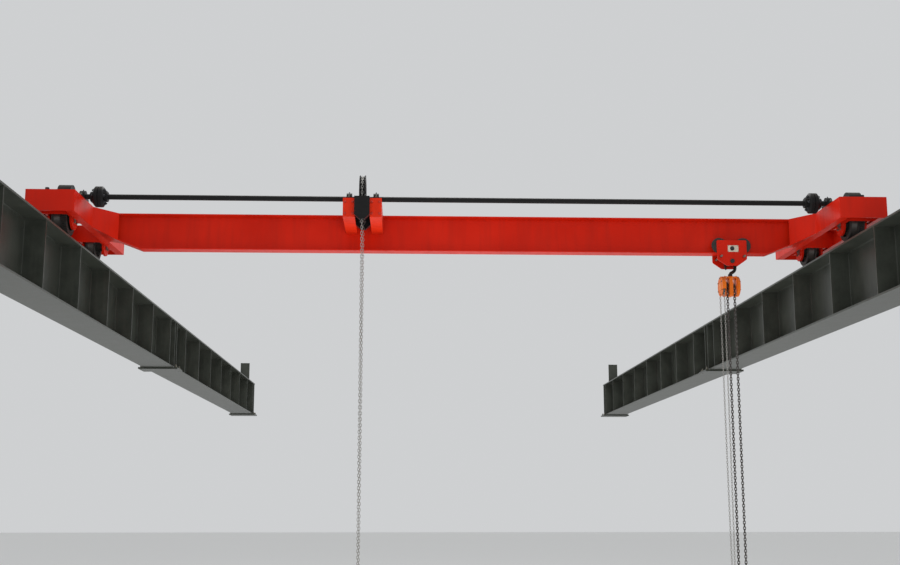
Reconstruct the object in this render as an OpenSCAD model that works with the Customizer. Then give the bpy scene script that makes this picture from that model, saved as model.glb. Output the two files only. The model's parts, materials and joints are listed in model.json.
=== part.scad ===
// Overhead bridge crane: a hand-geared single girder with a push trolley and a chain hoist,
// standing on its two runway beams. X runs across the span, Y along the runway and Z up, and
// the origin is the middle of the underside of the left beam's first bearing plate.

/* [Runway beams] */
// Distance between the two rails, centre to centre
gauge = 6740; // [5600:10:9000]
// Distance between two supports along the runway
bay = 7500; // [6500:50:9000]
// Length of beam beyond the middle of its end support
beam_over = 180; // [160:5:300]
// Height of a runway beam
beam_h = 570; // [400:10:700]
// Width of a runway beam's flanges
beam_w = 350; // [240:10:360]
// Thickness of a runway beam's flanges
beam_flange_t = 16; // [10:1:25]
// Thickness of a runway beam's web
beam_web_t = 10; // [6:1:16]
// Distance between two stiffeners of a runway beam
stiffener_pitch = 1000; // [700:50:1500]
// First stiffener from the middle of the end support
stiffener_first = 150; // [140:5:400]
// Thickness of a stiffener
stiffener_t = 10; // [6:1:16]
// Distance from the middle of a support to its bearing stiffeners
bearing_stiffener_at = 60; // [40:5:110]
// Gap between two beams over the middle support
beam_gap = 6; // [2:1:20]

/* [Rails] */
// Height of a rail
rail_h = 90; // [60:1:120]
// Width of a rail's foot
rail_foot_w = 80; // [60:1:114]
// Width of a rail's head
rail_head_w = 40; // [30:1:50]
// Thickness of a rail's web
rail_web_t = 10; // [8:1:16]

/* [Bearing plates] */
// Thickness of a bearing plate
seat_t = 20; // [12:1:40]
// Width of a bearing plate across the beam
seat_w = 460; // [450:5:520]
// Length of a bearing plate along the beam
seat_l = 320; // [260:5:400]
// Distance between anchor holes across the beam
anchor_x = 400; // [396:2:420]
// Distance between anchor holes along the beam
anchor_y = 220; // [160:5:240]
// Diameter of an anchor hole
anchor_d = 22; // [14:1:27]
// Height of the keeper plate beside a beam's foot
keeper_h = 150; // [80:5:200]
// Length of the keeper plate
keeper_l = 120; // [80:5:160]
// Thickness of the keeper plate
keeper_t = 10; // [6:1:14]

/* [End stops] */
// Width of an end stop across the rail
stop_w = 160; // [100:5:200]
// Height of an end stop above the beam
stop_h = 365; // [340:5:420]
// Thickness of an end stop's plates
stop_t = 14; // [8:1:20]
// Depth of an end stop along the rail
stop_d = 100; // [70:5:120]

/* [Girder] */
// Where the bridge stands along the runway
bridge_at = 3650; // [1500:50:12500]
// Height of the girder
girder_h = 320; // [280:5:360]
// Width of the girder's flanges
girder_w = 130; // [120:2:136]
// Thickness of the girder's web
girder_web_t = 9.5; // [7:0.5:14]
// Thickness of a girder flange at its edge
girder_edge_t = 10; // [8:0.5:14]
// Top of the girder above the top of the carriages
girder_rise = 0; // [0:1:40]
// Length of the tapered end of the girder
taper_l = 370; // [250:5:500]
// Thickness of the plate under the tapered end
taper_t = 12; // [8:1:20]

/* [End carriages] */
// Length of an end carriage
carriage_l = 1785; // [1650:5:2000]
// Width of an end carriage
carriage_w = 400; // [390:2:430]
// Height of an end carriage
carriage_h = 180; // [160:5:200]
// Thickness of a channel's web
channel_web_t = 8; // [6:0.5:12]
// Width of a channel's flange
channel_flange_w = 70; // [50:1:75]
// Thickness of a channel's flange
channel_flange_t = 10; // [8:0.5:14]
// Thickness of the plate that closes a carriage's end
end_plate_t = 10; // [6:1:14]
// Distance between the two wheels of a carriage
wheelbase = 1100; // [1000:10:1300]
// Reach of a haunch plate along the girder
haunch_x = 170; // [120:5:250]
// Reach of a haunch plate along the carriage
haunch_y = 230; // [160:5:300]
// Thickness of a haunch plate
haunch_t = 10; // [6:1:14]

/* [Travel wheels] */
// Diameter of a travel wheel's tread
tread_d = 250; // [240:2:260]
// Width of the tread between its flanges
tread_w = 52; // [46:1:56]
// Height of a wheel flange over the tread
wheel_flange_h = 15; // [10:1:16]
// Thickness of a wheel flange
wheel_flange_t = 14; // [10:1:16]
// Diameter of the axle
axle_d = 50; // [40:1:60]
// Thickness of a fork plate
fork_t = 18; // [12:1:22]
// Radius of a fork plate round its axle
fork_r = 95; // [80:1:100]
// Half length of the box round a wheel
box_half = 172; // [165:1:190]
// Thickness of the diaphragms round a wheel
diaphragm_t = 10; // [6:1:14]

/* [Gear drive] */
// Module of the spur gears
gear_module = 5; // [4.5:0.1:5.2]
// Teeth on a drive wheel's gear
gear_teeth = 56; // [52:1:58]
// Teeth on a pinion
pinion_teeth = 21; // [18:1:24]
// Face width of the gears
gear_face = 42; // [40:1:54]
// Diameter of the cross shaft
shaft_d = 45; // [35:1:48]
// Height of the cross shaft above the top of the carriages
shaft_over = 25; // [25:1:40]
// Distance from the middle of a carriage to its outer pillow block
block_out = 128; // [128:1:160]
// Distance from the middle of a carriage to its inner pillow block
block_in = 177; // [140:1:177]
// Radius of the guard over a pinion
guard_r = 98; // [98:1:120]
// Thickness of the guard's sheet
guard_t = 3; // [2:0.5:5]
// Width of the guard
guard_w = 110; // [105:1:150]
// Width of a pillow block
block_w = 46; // [36:1:60]
// Length of a pillow block's foot
block_l = 190; // [150:5:200]
// Radius of a pillow block's housing
block_r = 50; // [40:1:54]
// Radius of a shaft coupling's flange
coupling_r = 89; // [70:1:100]
// Thickness of the two flanges of a coupling
coupling_flange_w = 86; // [60:1:100]
// Length of a coupling
coupling_l = 147; // [120:1:180]
// Distance from the carriage to the middle of a coupling
coupling_in = 114; // [90:1:200]

/* [Hand chain wheel] */
// Where the chain wheel stands left of the middle of the span
chain_wheel_at = 829; // [600:10:1500]
// Outer radius of the chain wheel
chain_wheel_r = 205; // [180:1:230]
// Width of the chain wheel's rim
chain_wheel_w = 51; // [44:1:56]
// Depth from the rim to the middle of the chain
chain_seat = 14; // [11:1:20]
// Number of lugs round the rim of the chain wheel
chain_lugs = 24; // [12:1:30]
// Thickness of the hand chain over its links
hand_chain_d = 20; // [14:1:22]
// Distance that the loop of hand chain hangs below the cross shaft
travel_chain_drop = 3360; // [1500:10:3600]
// Width of an arm that carries the cross shaft
arm_w = 100; // [80:2:120]
// Height of an arm
arm_h = 155; // [130:1:170]
// Wall of an arm
arm_wall = 8; // [5:1:12]
// Clear width between the two arms
arm_gap = 128; // [110:2:160]
// Height of the plate on the end of an arm
arm_plate_h = 165; // [156:1:180]
// Thickness of the plate on the end of an arm
arm_plate_t = 10; // [6:1:14]
// Thickness of the chain guide's sheet
guide_t = 4; // [3:0.5:6]
// Length of the chain guide below the arms
guide_drop = 40; // [30:5:110]

/* [Trolley] */
// Distance from the trolley's middle to the tapered end of the girder
trolley_from_taper = 336; // [270:1:3000]
// Width of a trolley plate
trolley_w = 269; // [250:1:300]
// Thickness of a trolley plate
trolley_t = 10; // [8:1:14]
// Top of a trolley plate above the rail
trolley_top = 89; // [70:1:110]
// Where a trolley plate starts to narrow, below the rail
trolley_shoulder = 86; // [50:1:100]
// Foot of a trolley plate below the rail
trolley_foot = 143; // [139:1:170]
// Width of a trolley plate's foot
trolley_foot_w = 104; // [90:1:130]
// Mean diameter of a trolley wheel's tread
trolley_tread_d = 112; // [100:1:116]
// Diameter of a trolley wheel's flange
trolley_flange_d = 140; // [130:1:144]
// Distance between two trolley wheels
trolley_wheelbase = 216; // [200:1:230]
// Diameter of the trolley's axles
trolley_axle_d = 28; // [20:1:32]
// Clear space between a flange of the girder and a wheel's flange
trolley_side_gap = 3; // [2:0.5:5]
// Diameter of the bolts that tie the trolley plates
tie_d = 16; // [12:1:22]
// Length of the tie bolts
tie_l = 280; // [220:5:300]
// Distance between the tie bolts
tie_pitch = 208; // [190:2:214]
// Depth of the tie bolts below the rail
tie_drop = 62; // [52:1:68]
// Diameter of the suspension pin
pin_d = 40; // [32:1:46]
// Depth of the suspension pin below the rail
pin_drop = 102; // [96:1:108]

/* [Chain hoist] */
// Height of the hoist's body
hoist_h = 183; // [170:1:200]
// Distance from the suspension pin down to the hoist's body
hook_drop = 120; // [116:1:160]
// Radius inside the bowl of the top hook
hook_bowl_r = 32; // [26:1:36]
// Thickness of the top hook's bar
hook_bar_d = 26; // [18:1:28]
// Straight length of the sides of the top hook's bowl
hook_side = 34; // [0:1:38]
// Distance between the two falls of load chain
fall_gap = 64; // [60:1:72]
// Thickness of the load chain over its links
load_chain_d = 26; // [20:1:27]
// Height of the two falls of load chain
load_drop = 2640; // [1000:10:2700]
// Free end of load chain behind its sheave
load_tail = 60; // [40:5:80]
// Anchor of the load chain above the middle of its sheave
load_anchor = 20; // [10:1:40]
// Thickness of the cover over the hand wheel
hand_cover_w = 32; // [32:1:80]
// Thickness of the cover over the gears
gear_cover_w = 23; // [18:1:50]
// Distance that the hoist's hand chain hangs below its wheel
hoist_chain_drop = 2690; // [1000:10:2800]
// Radius inside the bowl of the load hook
load_hook_r = 34; // [28:1:40]

/* [Hidden] */
$fn = 48;
eps = 0.01;

// Clearances
seat_gap = 0.3;
running_gap = 0.05;
backlash = 0.4;
chain_gap = 0.7;

// Colours
graphite = [0.17, 0.19, 0.21];
crane_red = [0.80, 0.13, 0.06];
black = [0.07, 0.07, 0.08];
hoist_orange = [0.93, 0.36, 0.10];
chain_steel = [0.30, 0.29, 0.27];
rail_steel = [0.35, 0.30, 0.27];

// Levels and places
beam_bottom = seat_t;
beam_top = beam_bottom + beam_h;
rail_top = beam_top + rail_h;
run_l = 2 * bay;
stop_face = beam_over - stop_d;
carriage_x = gauge / 2;
carriage_in = carriage_x - carriage_w / 2;
flange_slope = 1 / 6;
girder_root_t = girder_edge_t + (girder_w - girder_web_t) / 2 * flange_slope;
wheel_z = tread_d / 2 + seat_gap;
wheel_w = tread_w + 2 * wheel_flange_t;
gear_r = gear_module * gear_teeth / 2;
pinion_r = gear_module * pinion_teeth / 2;
shaft_z = wheel_z + gear_r + pinion_r + backlash;
shaft_y = -wheelbase / 2;
carriage_top = shaft_z - shaft_over;
carriage_lift = carriage_top - carriage_h;
girder_top = carriage_top + girder_rise;
girder_bottom = girder_top - girder_h;
trolley_at = carriage_in - taper_l - trolley_from_taper;
gear_at = wheel_w / 2;
fork_in = 65;
axle_end = 12;
fork_out = carriage_w / 2 - channel_flange_w - fork_t - axle_end - 2;
pressure_angle = 20;
chain_r = chain_wheel_r - chain_seat;
arm_reach = -shaft_y + block_l / 2 + 5;
arm_top = carriage_top;
arm_bottom = arm_top - arm_h;
trolley_wheel_in = 30;
trolley_contact = (girder_w / 2 + trolley_wheel_in) / 2;
trolley_flange_t = 8;
trolley_wheel_out = girder_w / 2 + trolley_side_gap;
plate_in = trolley_wheel_out + trolley_flange_t + 5;
trolley_z = flange_top_at(trolley_contact) + trolley_tread_d / 2 + seat_gap;
pin_z = -pin_drop;
hoist_top = pin_z - hook_drop;
hoist_axis_z = hoist_top - hoist_h / 2;
hoist_axis_y = fall_gap / 2;
hoist_r = hoist_h / 2;

// Top of the girder's bottom flange at a distance from its web's middle
function flange_top_at(y) = girder_bottom + girder_edge_t + (girder_w / 2 - y) * flange_slope;

// Involute of an angle in degrees, given in degrees
function involute(a) = tan(a) * 180 / PI - a;

// Half the angle of a gear tooth at radius r
function half_tooth(teeth, pitch_r, base_r, r) =
    90 / teeth + involute(pressure_angle) - involute(acos(min(1, base_r / r)));

// Outline of a spur gear with involute flanks
function gear_outline(teeth) =
    let (
        pitch_r = gear_module * teeth / 2,
        base_r = pitch_r * cos(pressure_angle),
        root_r = pitch_r - 1.25 * gear_module,
        tip_r = pitch_r + gear_module,
        low_r = max(root_r, base_r),
        steps = 4
    )
    [for (k = [0 : teeth - 1], side = [-1, 1], i = [0 : steps])
        let (
            j = side < 0 ? i : steps - i,
            r = j == 0 ? root_r : low_r + (tip_r - low_r) * (j - 1) / (steps - 1),
            a = 360 * k / teeth + side * half_tooth(teeth, pitch_r, base_r, max(r, low_r))
        )
        [r * cos(a), r * sin(a)]];

// Inverse hyperbolic functions
function asinh(v) = ln(v + sqrt(v * v + 1));
function acosh(v) = ln(v + sqrt(v * v - 1));

// Scale of the catenary that spans 2 * half and hangs by drop
function catenary(half, drop, a, n) = n == 0 ? a : catenary(half, drop, half / acosh(1 + drop / a), n - 1);

// Closed loop of chain: half a circle over its wheel and a catenary below it
function chain_loop(r, drop, over, under) =
    let (a = catenary(r, drop, r / 5, 20), s = a * sqrt(pow(1 + drop / a, 2) - 1))
    concat(
        [for (i = [0 : over]) let (t = 180 * i / over) [r * cos(t), r * sin(t)]],
        [for (i = [1 : under - 1])
            let (t = 2 * i / under - 1, v = s * sign(t) * pow(abs(t), 2.2), x = a * asinh(v / a))
            [x, a * (sqrt(1 + pow(v / a, 2)) - 1) - drop]]
    );

// Direction of a path at point i
function way(path, i, closed) =
    let (
        n = len(path),
        d = closed ? path[(i + 1) % n] - path[(i + n - 1) % n]
                   : path[min(i + 1, n - 1)] - path[max(i - 1, 0)]
    )
    d / norm(d);

// Round bar of changing radius along a flat path
module swept_bar(path, radii, sides = 12, closed = false) {
    n = len(path);
    points = [for (i = [0 : n - 1], j = [0 : sides - 1])
        let (t = way(path, i, closed), a = 360 * j / sides, r = radii[i] * cos(a), z = radii[i] * sin(a))
        [path[i][0] - t[1] * r, path[i][1] + t[0] * r, z]];
    walls = [for (i = [0 : (closed ? n - 1 : n - 2)], j = [0 : sides - 1], half = [0, 1])
        let (k = (i + 1) % n, m = (j + 1) % sides)
        half == 0 ? [i * sides + j, k * sides + j, k * sides + m]
                  : [i * sides + j, k * sides + m, i * sides + m]];
    caps = closed ? [] : [[for (j = [0 : sides - 1]) j],
                          [for (j = [sides - 1 : -1 : 0]) (n - 1) * sides + j]];
    polyhedron(points, concat(walls, caps), convexity = 6);
}

// Outline with rounded corners: each corner is [x, y, radius]
function rounded(corners, steps = 6) =
    [for (i = [0 : len(corners) - 1])
        let (
            n = len(corners),
            p = [corners[i][0], corners[i][1]],
            before = corners[(i + n - 1) % n],
            after = corners[(i + 1) % n],
            u = [before[0], before[1]] - p,
            v = [after[0], after[1]] - p,
            a = u / norm(u),
            b = v / norm(v),
            half = acos(a * b) / 2,
            middle = p + (a + b) / norm(a + b) * corners[i][2] / sin(half),
            from = atan2((p + a * corners[i][2] / tan(half) - middle)[1],
                         (p + a * corners[i][2] / tan(half) - middle)[0]),
            to = atan2((p + b * corners[i][2] / tan(half) - middle)[1],
                       (p + b * corners[i][2] / tan(half) - middle)[0]),
            turn = (to - from + 540) % 360 - 180
        )
        for (k = [0 : steps])
            middle + corners[i][2] * [cos(from + turn * k / steps), sin(from + turn * k / steps)]];

// Flat piece whose outline is given in Y and Z, from x to x + t
module slab_x(x, t) {
    translate([x, 0, 0])
        rotate([90, 0, 90])
            linear_extrude(t) children();
}

// Flat piece whose outline is given in X and Z, from y to y + t
module slab_y(y, t) {
    translate([0, y + t, 0])
        rotate([90, 0, 0])
            linear_extrude(t) children();
}

module bar_x(r, x0, x1) {
    translate([x0, 0, 0])
        rotate([0, 90, 0])
            cylinder(r = r, h = x1 - x0);
}

module bar_y(r, y0, y1) {
    translate([0, y1, 0])
        rotate([90, 0, 0])
            cylinder(r = r, h = y1 - y0);
}

// Puts a piece of the bridge, drawn from mid span and rail level, in its place
module on_bridge() {
    translate([gauge / 2, bridge_at, rail_top]) children();
}

// Puts a piece of one carriage in its place: side is -1 on the left and 1 on the right
module on_carriage(side) {
    translate([side * carriage_x, 0, 0]) children();
}

// The same for a piece that the two carriages mirror, drawn with X running outwards
module on_side(side) {
    on_carriage(side) scale_side(side) children();
}

module scale_side(side) {
    if (side < 0) mirror([1, 0, 0]) children();
    else children();
}

// Runway

module i_outline(h, w, flange, web) {
    union() {
        translate([-w / 2, 0]) square([w, flange]);
        translate([-w / 2, h - flange]) square([w, flange]);
        translate([-web / 2, flange - eps]) square([web, h - 2 * flange + 2 * eps]);
    }
}

// Runway beam from y0 to y1 with a stiffener on each side of the web at each place
module runway_beam(x, y0, y1, places) {
    translate([x, 0, beam_bottom])
        union() {
            slab_y(y0, y1 - y0) i_outline(beam_h, beam_w, beam_flange_t, beam_web_t);
            for (y = places, side = [-1, 1])
                translate([side > 0 ? 0 : -beam_w / 2 + 4, y - stiffener_t / 2, beam_flange_t - eps])
                    cube([beam_w / 2 - 4, stiffener_t, beam_h - 2 * beam_flange_t + 2 * eps]);
        }
}

// Places of the stiffeners between two supports, with the pairs at the supports
function stiffeners(from, to) =
    [for (y = [stiffener_first : stiffener_pitch : run_l - stiffener_first + eps])
        if (y > from + bearing_stiffener_at + 40 && y < to - bearing_stiffener_at - 40) y];
near_places = concat([-beam_over + 30, -bearing_stiffener_at, bearing_stiffener_at],
                     stiffeners(0, bay), [bay - bearing_stiffener_at]);
far_places = concat([bay + bearing_stiffener_at], stiffeners(bay, run_l),
                    [run_l - bearing_stiffener_at, run_l + bearing_stiffener_at, run_l + beam_over - 30]);

module beam_near(x) {
    color(graphite) runway_beam(x, -beam_over, bay - beam_gap / 2, near_places);
}

module beam_far(x) {
    color(graphite) runway_beam(x, bay + beam_gap / 2, run_l + beam_over, far_places);
}

module left_beam_near() beam_near(0);
module left_beam_far() beam_far(0);
module right_beam_near() beam_near(gauge);
module right_beam_far() beam_far(gauge);

module rail_outline() {
    head_h = rail_h * 0.27;
    foot_h = rail_h * 0.12;
    half = [
        [rail_foot_w / 2, 0], [rail_foot_w / 2, foot_h * 0.6], [rail_web_t / 2 + 6, foot_h + 6],
        [rail_web_t / 2, foot_h + 14], [rail_web_t / 2, rail_h - head_h - 8],
        [rail_web_t / 2 + 4, rail_h - head_h], [rail_head_w / 2, rail_h - head_h + 4],
        [rail_head_w / 2, rail_h - 6], [rail_head_w / 2 - 2, rail_h - 2], [rail_head_w / 2 - 6, rail_h]
    ];
    polygon(concat(half, [for (i = [len(half) - 1 : -1 : 0]) [-half[i][0], half[i][1]]]));
}

module rail(x) {
    color(rail_steel)
        translate([x, 0, beam_top])
            slab_y(-stop_face, run_l + 2 * stop_face) rail_outline();
}

module left_rail() rail(0);
module right_rail() rail(gauge);

module bearing_plates() {
    color(graphite)
        for (x = [0, gauge], y = [0, bay, run_l])
            translate([x, y, 0]) {
                out = x == 0 ? -1 : 1;
                difference() {
                    union() {
                        translate([-seat_w / 2, -seat_l / 2, 0]) cube([seat_w, seat_l, seat_t]);
                        translate([out * (beam_w + keeper_t) / 2 - keeper_t / 2, -keeper_l / 2,
                                   seat_t - eps])
                            cube([keeper_t, keeper_l, keeper_h]);
                    }
                    for (i = [-1, 1], j = [-1, 1])
                        translate([i * anchor_x / 2, j * anchor_y / 2, -1])
                            cylinder(d = anchor_d, h = seat_t + 2);
                }
            }
}

module end_stop() {
    union() {
        translate([-stop_w / 2, 0, 0]) cube([stop_w, stop_t, stop_h]);
        slab_x(-stop_t / 2, stop_t)
            polygon([[stop_t - eps, 0], [stop_d, 0], [stop_d, 60], [stop_t + 20, stop_h - 20],
                     [stop_t - eps, stop_h - 20]]);
        translate([-stop_w / 2, stop_t - eps, 0]) cube([stop_w, stop_d - stop_t, stop_t]);
    }
}

module end_stops() {
    color(graphite)
        for (x = [0, gauge]) {
            translate([x, run_l + stop_face, beam_top]) end_stop();
            translate([x, -stop_face, beam_top]) mirror([0, 1, 0]) end_stop();
        }
}

// Bridge

// Rolled I section with sloping flanges
module girder_outline() {
    w = girder_w / 2;
    s = girder_web_t / 2;
    upper = [[w, girder_top], [w, girder_top - girder_edge_t], [s, girder_top - girder_root_t]];
    lower = [[s, girder_bottom + girder_root_t], [w, girder_bottom + girder_edge_t], [w, girder_bottom]];
    half = concat(upper, lower);
    polygon(concat(half, [for (i = [len(half) - 1 : -1 : 0]) [-half[i][0], half[i][1]]]));
}

module girder() {
    color(crane_red)
        on_bridge()
            union() {
                difference() {
                    slab_x(-carriage_in, 2 * carriage_in) girder_outline();
                    for (side = [-1, 1])
                        scale_side(side)
                            slab_y(-girder_w, 2 * girder_w)
                                polygon([
                                    [carriage_in - taper_l, girder_bottom - 1],
                                    [carriage_in - taper_l, girder_bottom],
                                    [carriage_in, carriage_lift],
                                    [carriage_in + 1, carriage_lift],
                                    [carriage_in + 1, girder_bottom - 1]
                                ]);
                }
                for (side = [-1, 1])
                    scale_side(side)
                        slab_y(-girder_w / 2, girder_w)
                            polygon([
                                [carriage_in - taper_l, girder_bottom],
                                [carriage_in, carriage_lift],
                                [carriage_in, carriage_lift + taper_t],
                                [carriage_in - taper_l, girder_bottom + taper_t]
                            ]);
            }
}

// Solid form of a haunch, set in by t from its slanting, upper and lower faces
module haunch_form(t) {
    y0 = girder_w / 2;
    y1 = y0 + haunch_y;
    x0 = carriage_in - haunch_x;
    out = t > 0 ? 1 : 0;
    span = norm([haunch_x, haunch_y]);
    low = carriage_lift - (carriage_lift - girder_bottom) * haunch_x / taper_l;
    intersection() {
        translate([0, 0, low])
            linear_extrude(carriage_top - low)
                polygon([[x0 + t * span / haunch_y, y0 - out], [x0 + t * span / haunch_y, y0],
                         [carriage_in, y1 - t * span / haunch_x],
                         [carriage_in + out, y1 - t * span / haunch_x], [carriage_in + out, y0 - out]]);
        slab_y(y0 - out, haunch_y + out)
            polygon([[x0, low + t], [carriage_in, carriage_lift + t], [carriage_in + out, carriage_lift + t],
                     [carriage_in + out, carriage_top - t], [x0, carriage_top - t]]);
    }
}

// Gusset between the girder and a carriage: a slanting plate with a top and a bottom plate
module haunch(near) {
    mirror([0, near ? 1 : 0, 0])
        difference() {
            haunch_form(0);
            haunch_form(haunch_t);
        }
}

module haunches() {
    color(crane_red)
        on_bridge()
            for (side = [-1, 1], near = [false, true])
                scale_side(side) haunch(near);
}

// Channel with its web outside, from x = 0 inwards to its toes
module channel_outline() {
    h = carriage_h;
    t = channel_flange_t;
    slope = 2;
    polygon([
        [0, 0], [channel_flange_w, 0], [channel_flange_w, t - slope], [channel_web_t, t + slope],
        [channel_web_t, h - t - slope], [channel_flange_w, h - t + slope], [channel_flange_w, h], [0, h]
    ]);
}

module channel(side, inner) {
    l = carriage_l - 2 * end_plate_t;
    color(crane_red)
        on_bridge()
            on_side(side)
                scale_side(inner ? 1 : -1)
                    translate([-carriage_w / 2, 0, carriage_lift])
                        slab_y(-l / 2, l) channel_outline();
}

module left_inner_channel() channel(-1, true);
module left_outer_channel() channel(-1, false);
module right_inner_channel() channel(1, true);
module right_outer_channel() channel(1, false);

module carriage_end_plates() {
    color(crane_red)
        on_bridge()
            for (side = [-1, 1], end = [-1, 1])
                translate([side * carriage_x - carriage_w / 2,
                           end * (carriage_l / 2 - end_plate_t / 2) - end_plate_t / 2, carriage_lift])
                    cube([carriage_w, end_plate_t, carriage_h]);
}

module fork_outline() {
    h = carriage_top - channel_flange_t - 2 - wheel_z;
    b = box_half - diaphragm_t / 2;
    difference() {
        union() {
            translate([-b, carriage_lift + channel_flange_t - wheel_z])
                square([2 * b, h + wheel_z - carriage_lift - channel_flange_t]);
            circle(r = fork_r);
        }
        circle(d = axle_d);
    }
}

// Two fork plates and two diaphragms round one wheel
module wheel_box() {
    z0 = carriage_lift + channel_flange_t + 2;
    z1 = carriage_top - channel_flange_t - 2;
    half = carriage_w / 2 - channel_web_t;
    union() {
        for (x = [-fork_in - fork_t, fork_out])
            translate([0, 0, wheel_z]) slab_x(x, fork_t) fork_outline();
        for (end = [-1, 1])
            translate([-half, end * box_half - diaphragm_t / 2, z0]) cube([2 * half, diaphragm_t, z1 - z0]);
    }
}

module wheel_boxes(side) {
    color(crane_red)
        on_bridge()
            on_carriage(side)
                for (y = [-wheelbase / 2, wheelbase / 2])
                    translate([0, y, 0]) wheel_box();
}

module left_wheel_boxes() wheel_boxes(-1);
module right_wheel_boxes() wheel_boxes(1);

module wheel_axles() {
    color(black)
        on_bridge()
            for (side = [-1, 1], y = [-wheelbase / 2, wheelbase / 2])
                on_carriage(side)
                    translate([0, y, wheel_z])
                        bar_x(axle_d / 2, -fork_in - fork_t - axle_end, fork_out + fork_t + axle_end);
}

// Half-round sheet over a pinion, on two straps across the carriage
module gear_guard() {
    x0 = gear_at + gear_face + 10 - guard_w;
    foot = carriage_top - shaft_z;
    slot = shaft_d / 2 + 8;
    difference() {
        union() {
            bar_x(guard_r, x0, x0 + guard_w);
            translate([x0, -guard_r, foot]) cube([guard_w, 2 * guard_r, -foot]);
        }
        bar_x(guard_r - guard_t, x0 + guard_t, x0 + guard_w - guard_t);
        translate([x0 + guard_t, -guard_r + guard_t, foot - 1])
            cube([guard_w - 2 * guard_t, 2 * (guard_r - guard_t), 1 - foot]);
        translate([x0 - 1, -guard_r - 1, foot - guard_r]) cube([guard_w + 2, 2 * guard_r + 2, guard_r]);
        bar_x(slot, x0 - 1, x0 + guard_w + 1);
        translate([x0 - 1, -slot, foot - 1]) cube([guard_w + 2, 2 * slot, 1 - foot]);
    }
    for (end = [-1, 1])
        translate([-carriage_w / 2 + 10, end * (guard_r + 14) - 15, foot])
            cube([carriage_w - 20, 30, guard_t + 3]);
}

module gear_guards() {
    color(black)
        on_bridge()
            for (side = [-1, 1])
                on_carriage(side)
                    translate([0, shaft_y, shaft_z]) gear_guard();
}

// Pillow block whose shaft lies along X at the origin
module pillow_block() {
    foot = carriage_top - shaft_z;
    neck = block_r * 0.96;
    slab_x(-block_w / 2, block_w)
        difference() {
            union() {
                circle(r = block_r);
                translate([-neck, foot]) square([2 * neck, -foot]);
                translate([-block_l / 2, foot]) square([block_l, 20]);
            }
            circle(r = shaft_d / 2 + running_gap);
            translate([-block_r, foot - block_r]) square([2 * block_r, block_r]);
        }
}

module shaft_bearings() {
    color(black)
        on_bridge() {
            for (side = [-1, 1], x = [-block_in, block_out])
                on_side(side)
                    translate([x, shaft_y, shaft_z]) pillow_block();
            for (end = [-1, 1])
                translate([-chain_wheel_at + end * (arm_gap / 2 + arm_w / 2), shaft_y, shaft_z])
                    pillow_block();
        }
}

// Arm of box section from the girder's web, under its top flange, out to the cross shaft
module shaft_arm(end) {
    y1 = -girder_web_t / 2;
    color(crane_red)
        on_bridge()
            translate([-chain_wheel_at + end * (arm_gap / 2 + arm_w / 2), 0, 0])
                union() {
                    difference() {
                        slab_y(-arm_reach, arm_reach + y1)
                            difference() {
                                translate([-arm_w / 2, arm_bottom]) square([arm_w, arm_h]);
                                translate([-arm_w / 2 + arm_wall, arm_bottom + arm_wall])
                                    square([arm_w - 2 * arm_wall, arm_h - 2 * arm_wall]);
                            }
                        slab_x(-arm_w, 2 * arm_w)
                            polygon([
                                [-girder_w / 2, girder_top + 1], [-girder_w / 2, girder_top - girder_edge_t],
                                [y1, girder_top - girder_root_t], [1, girder_top - girder_root_t],
                                [1, girder_top + 1]
                            ]);
                    }
                    translate([-arm_w / 2, -arm_reach - arm_plate_t, arm_bottom])
                        cube([arm_w, arm_plate_t + eps, arm_plate_h]);
                }
}

module left_shaft_arm() shaft_arm(-1);
module right_shaft_arm() shaft_arm(1);

// Sheet that keeps one strand of chain on its wheel, tapering to a mouth below
module guide_sheet(out) {
    half = arm_gap / 2;
    mouth = hand_chain_d / 2 + 8;
    z0 = arm_bottom - guide_drop;
    y0 = chain_r + hand_chain_d / 2 + 16;
    mirror([0, out < 0 ? 1 : 0, 0])
        union() {
            slab_y(y0, guide_t)
                polygon([[-half, arm_top], [half, arm_top], [half, arm_bottom],
                         [mouth + guide_t, z0], [-mouth - guide_t, z0], [-half, arm_bottom]]);
            for (side = [-1, 1])
                mirror([side < 0 ? 1 : 0, 0, 0]) {
                    slab_y(y0 - 50, 50 + eps)
                        polygon([[half, arm_bottom], [mouth + guide_t, z0], [mouth, z0],
                                 [half - guide_t, arm_bottom], [half - guide_t, arm_bottom + 30],
                                 [half, arm_bottom + 30]]);
                    translate([half - guide_t, y0 - 150, arm_bottom + 20])
                        cube([guide_t, 150 + eps, arm_h - 40]);
                }
        }
}

module chain_guide() {
    color(black)
        on_bridge()
            translate([-chain_wheel_at, shaft_y, 0])
                for (out = [-1, 1]) guide_sheet(out);
}

// Loop of chain whose wheel's shaft lies along X at the origin
module hanging_chain(r, drop, d) {
    path = chain_loop(r, drop, 24, 40);
    rotate([90, 0, 90])
        swept_bar(path, [for (p = path) d / 2], sides = 8, closed = true);
}

module travel_chain() {
    color(chain_steel)
        on_bridge()
            translate([-chain_wheel_at, shaft_y, shaft_z])
                hanging_chain(chain_r, travel_chain_drop, hand_chain_d);
}

// Drive

module cross_shaft() {
    color(black)
        on_bridge()
            translate([0, shaft_y, shaft_z])
                bar_x(shaft_d / 2, -carriage_x - carriage_w / 2 - 3, carriage_x + carriage_w / 2 + 3);
}

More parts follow.
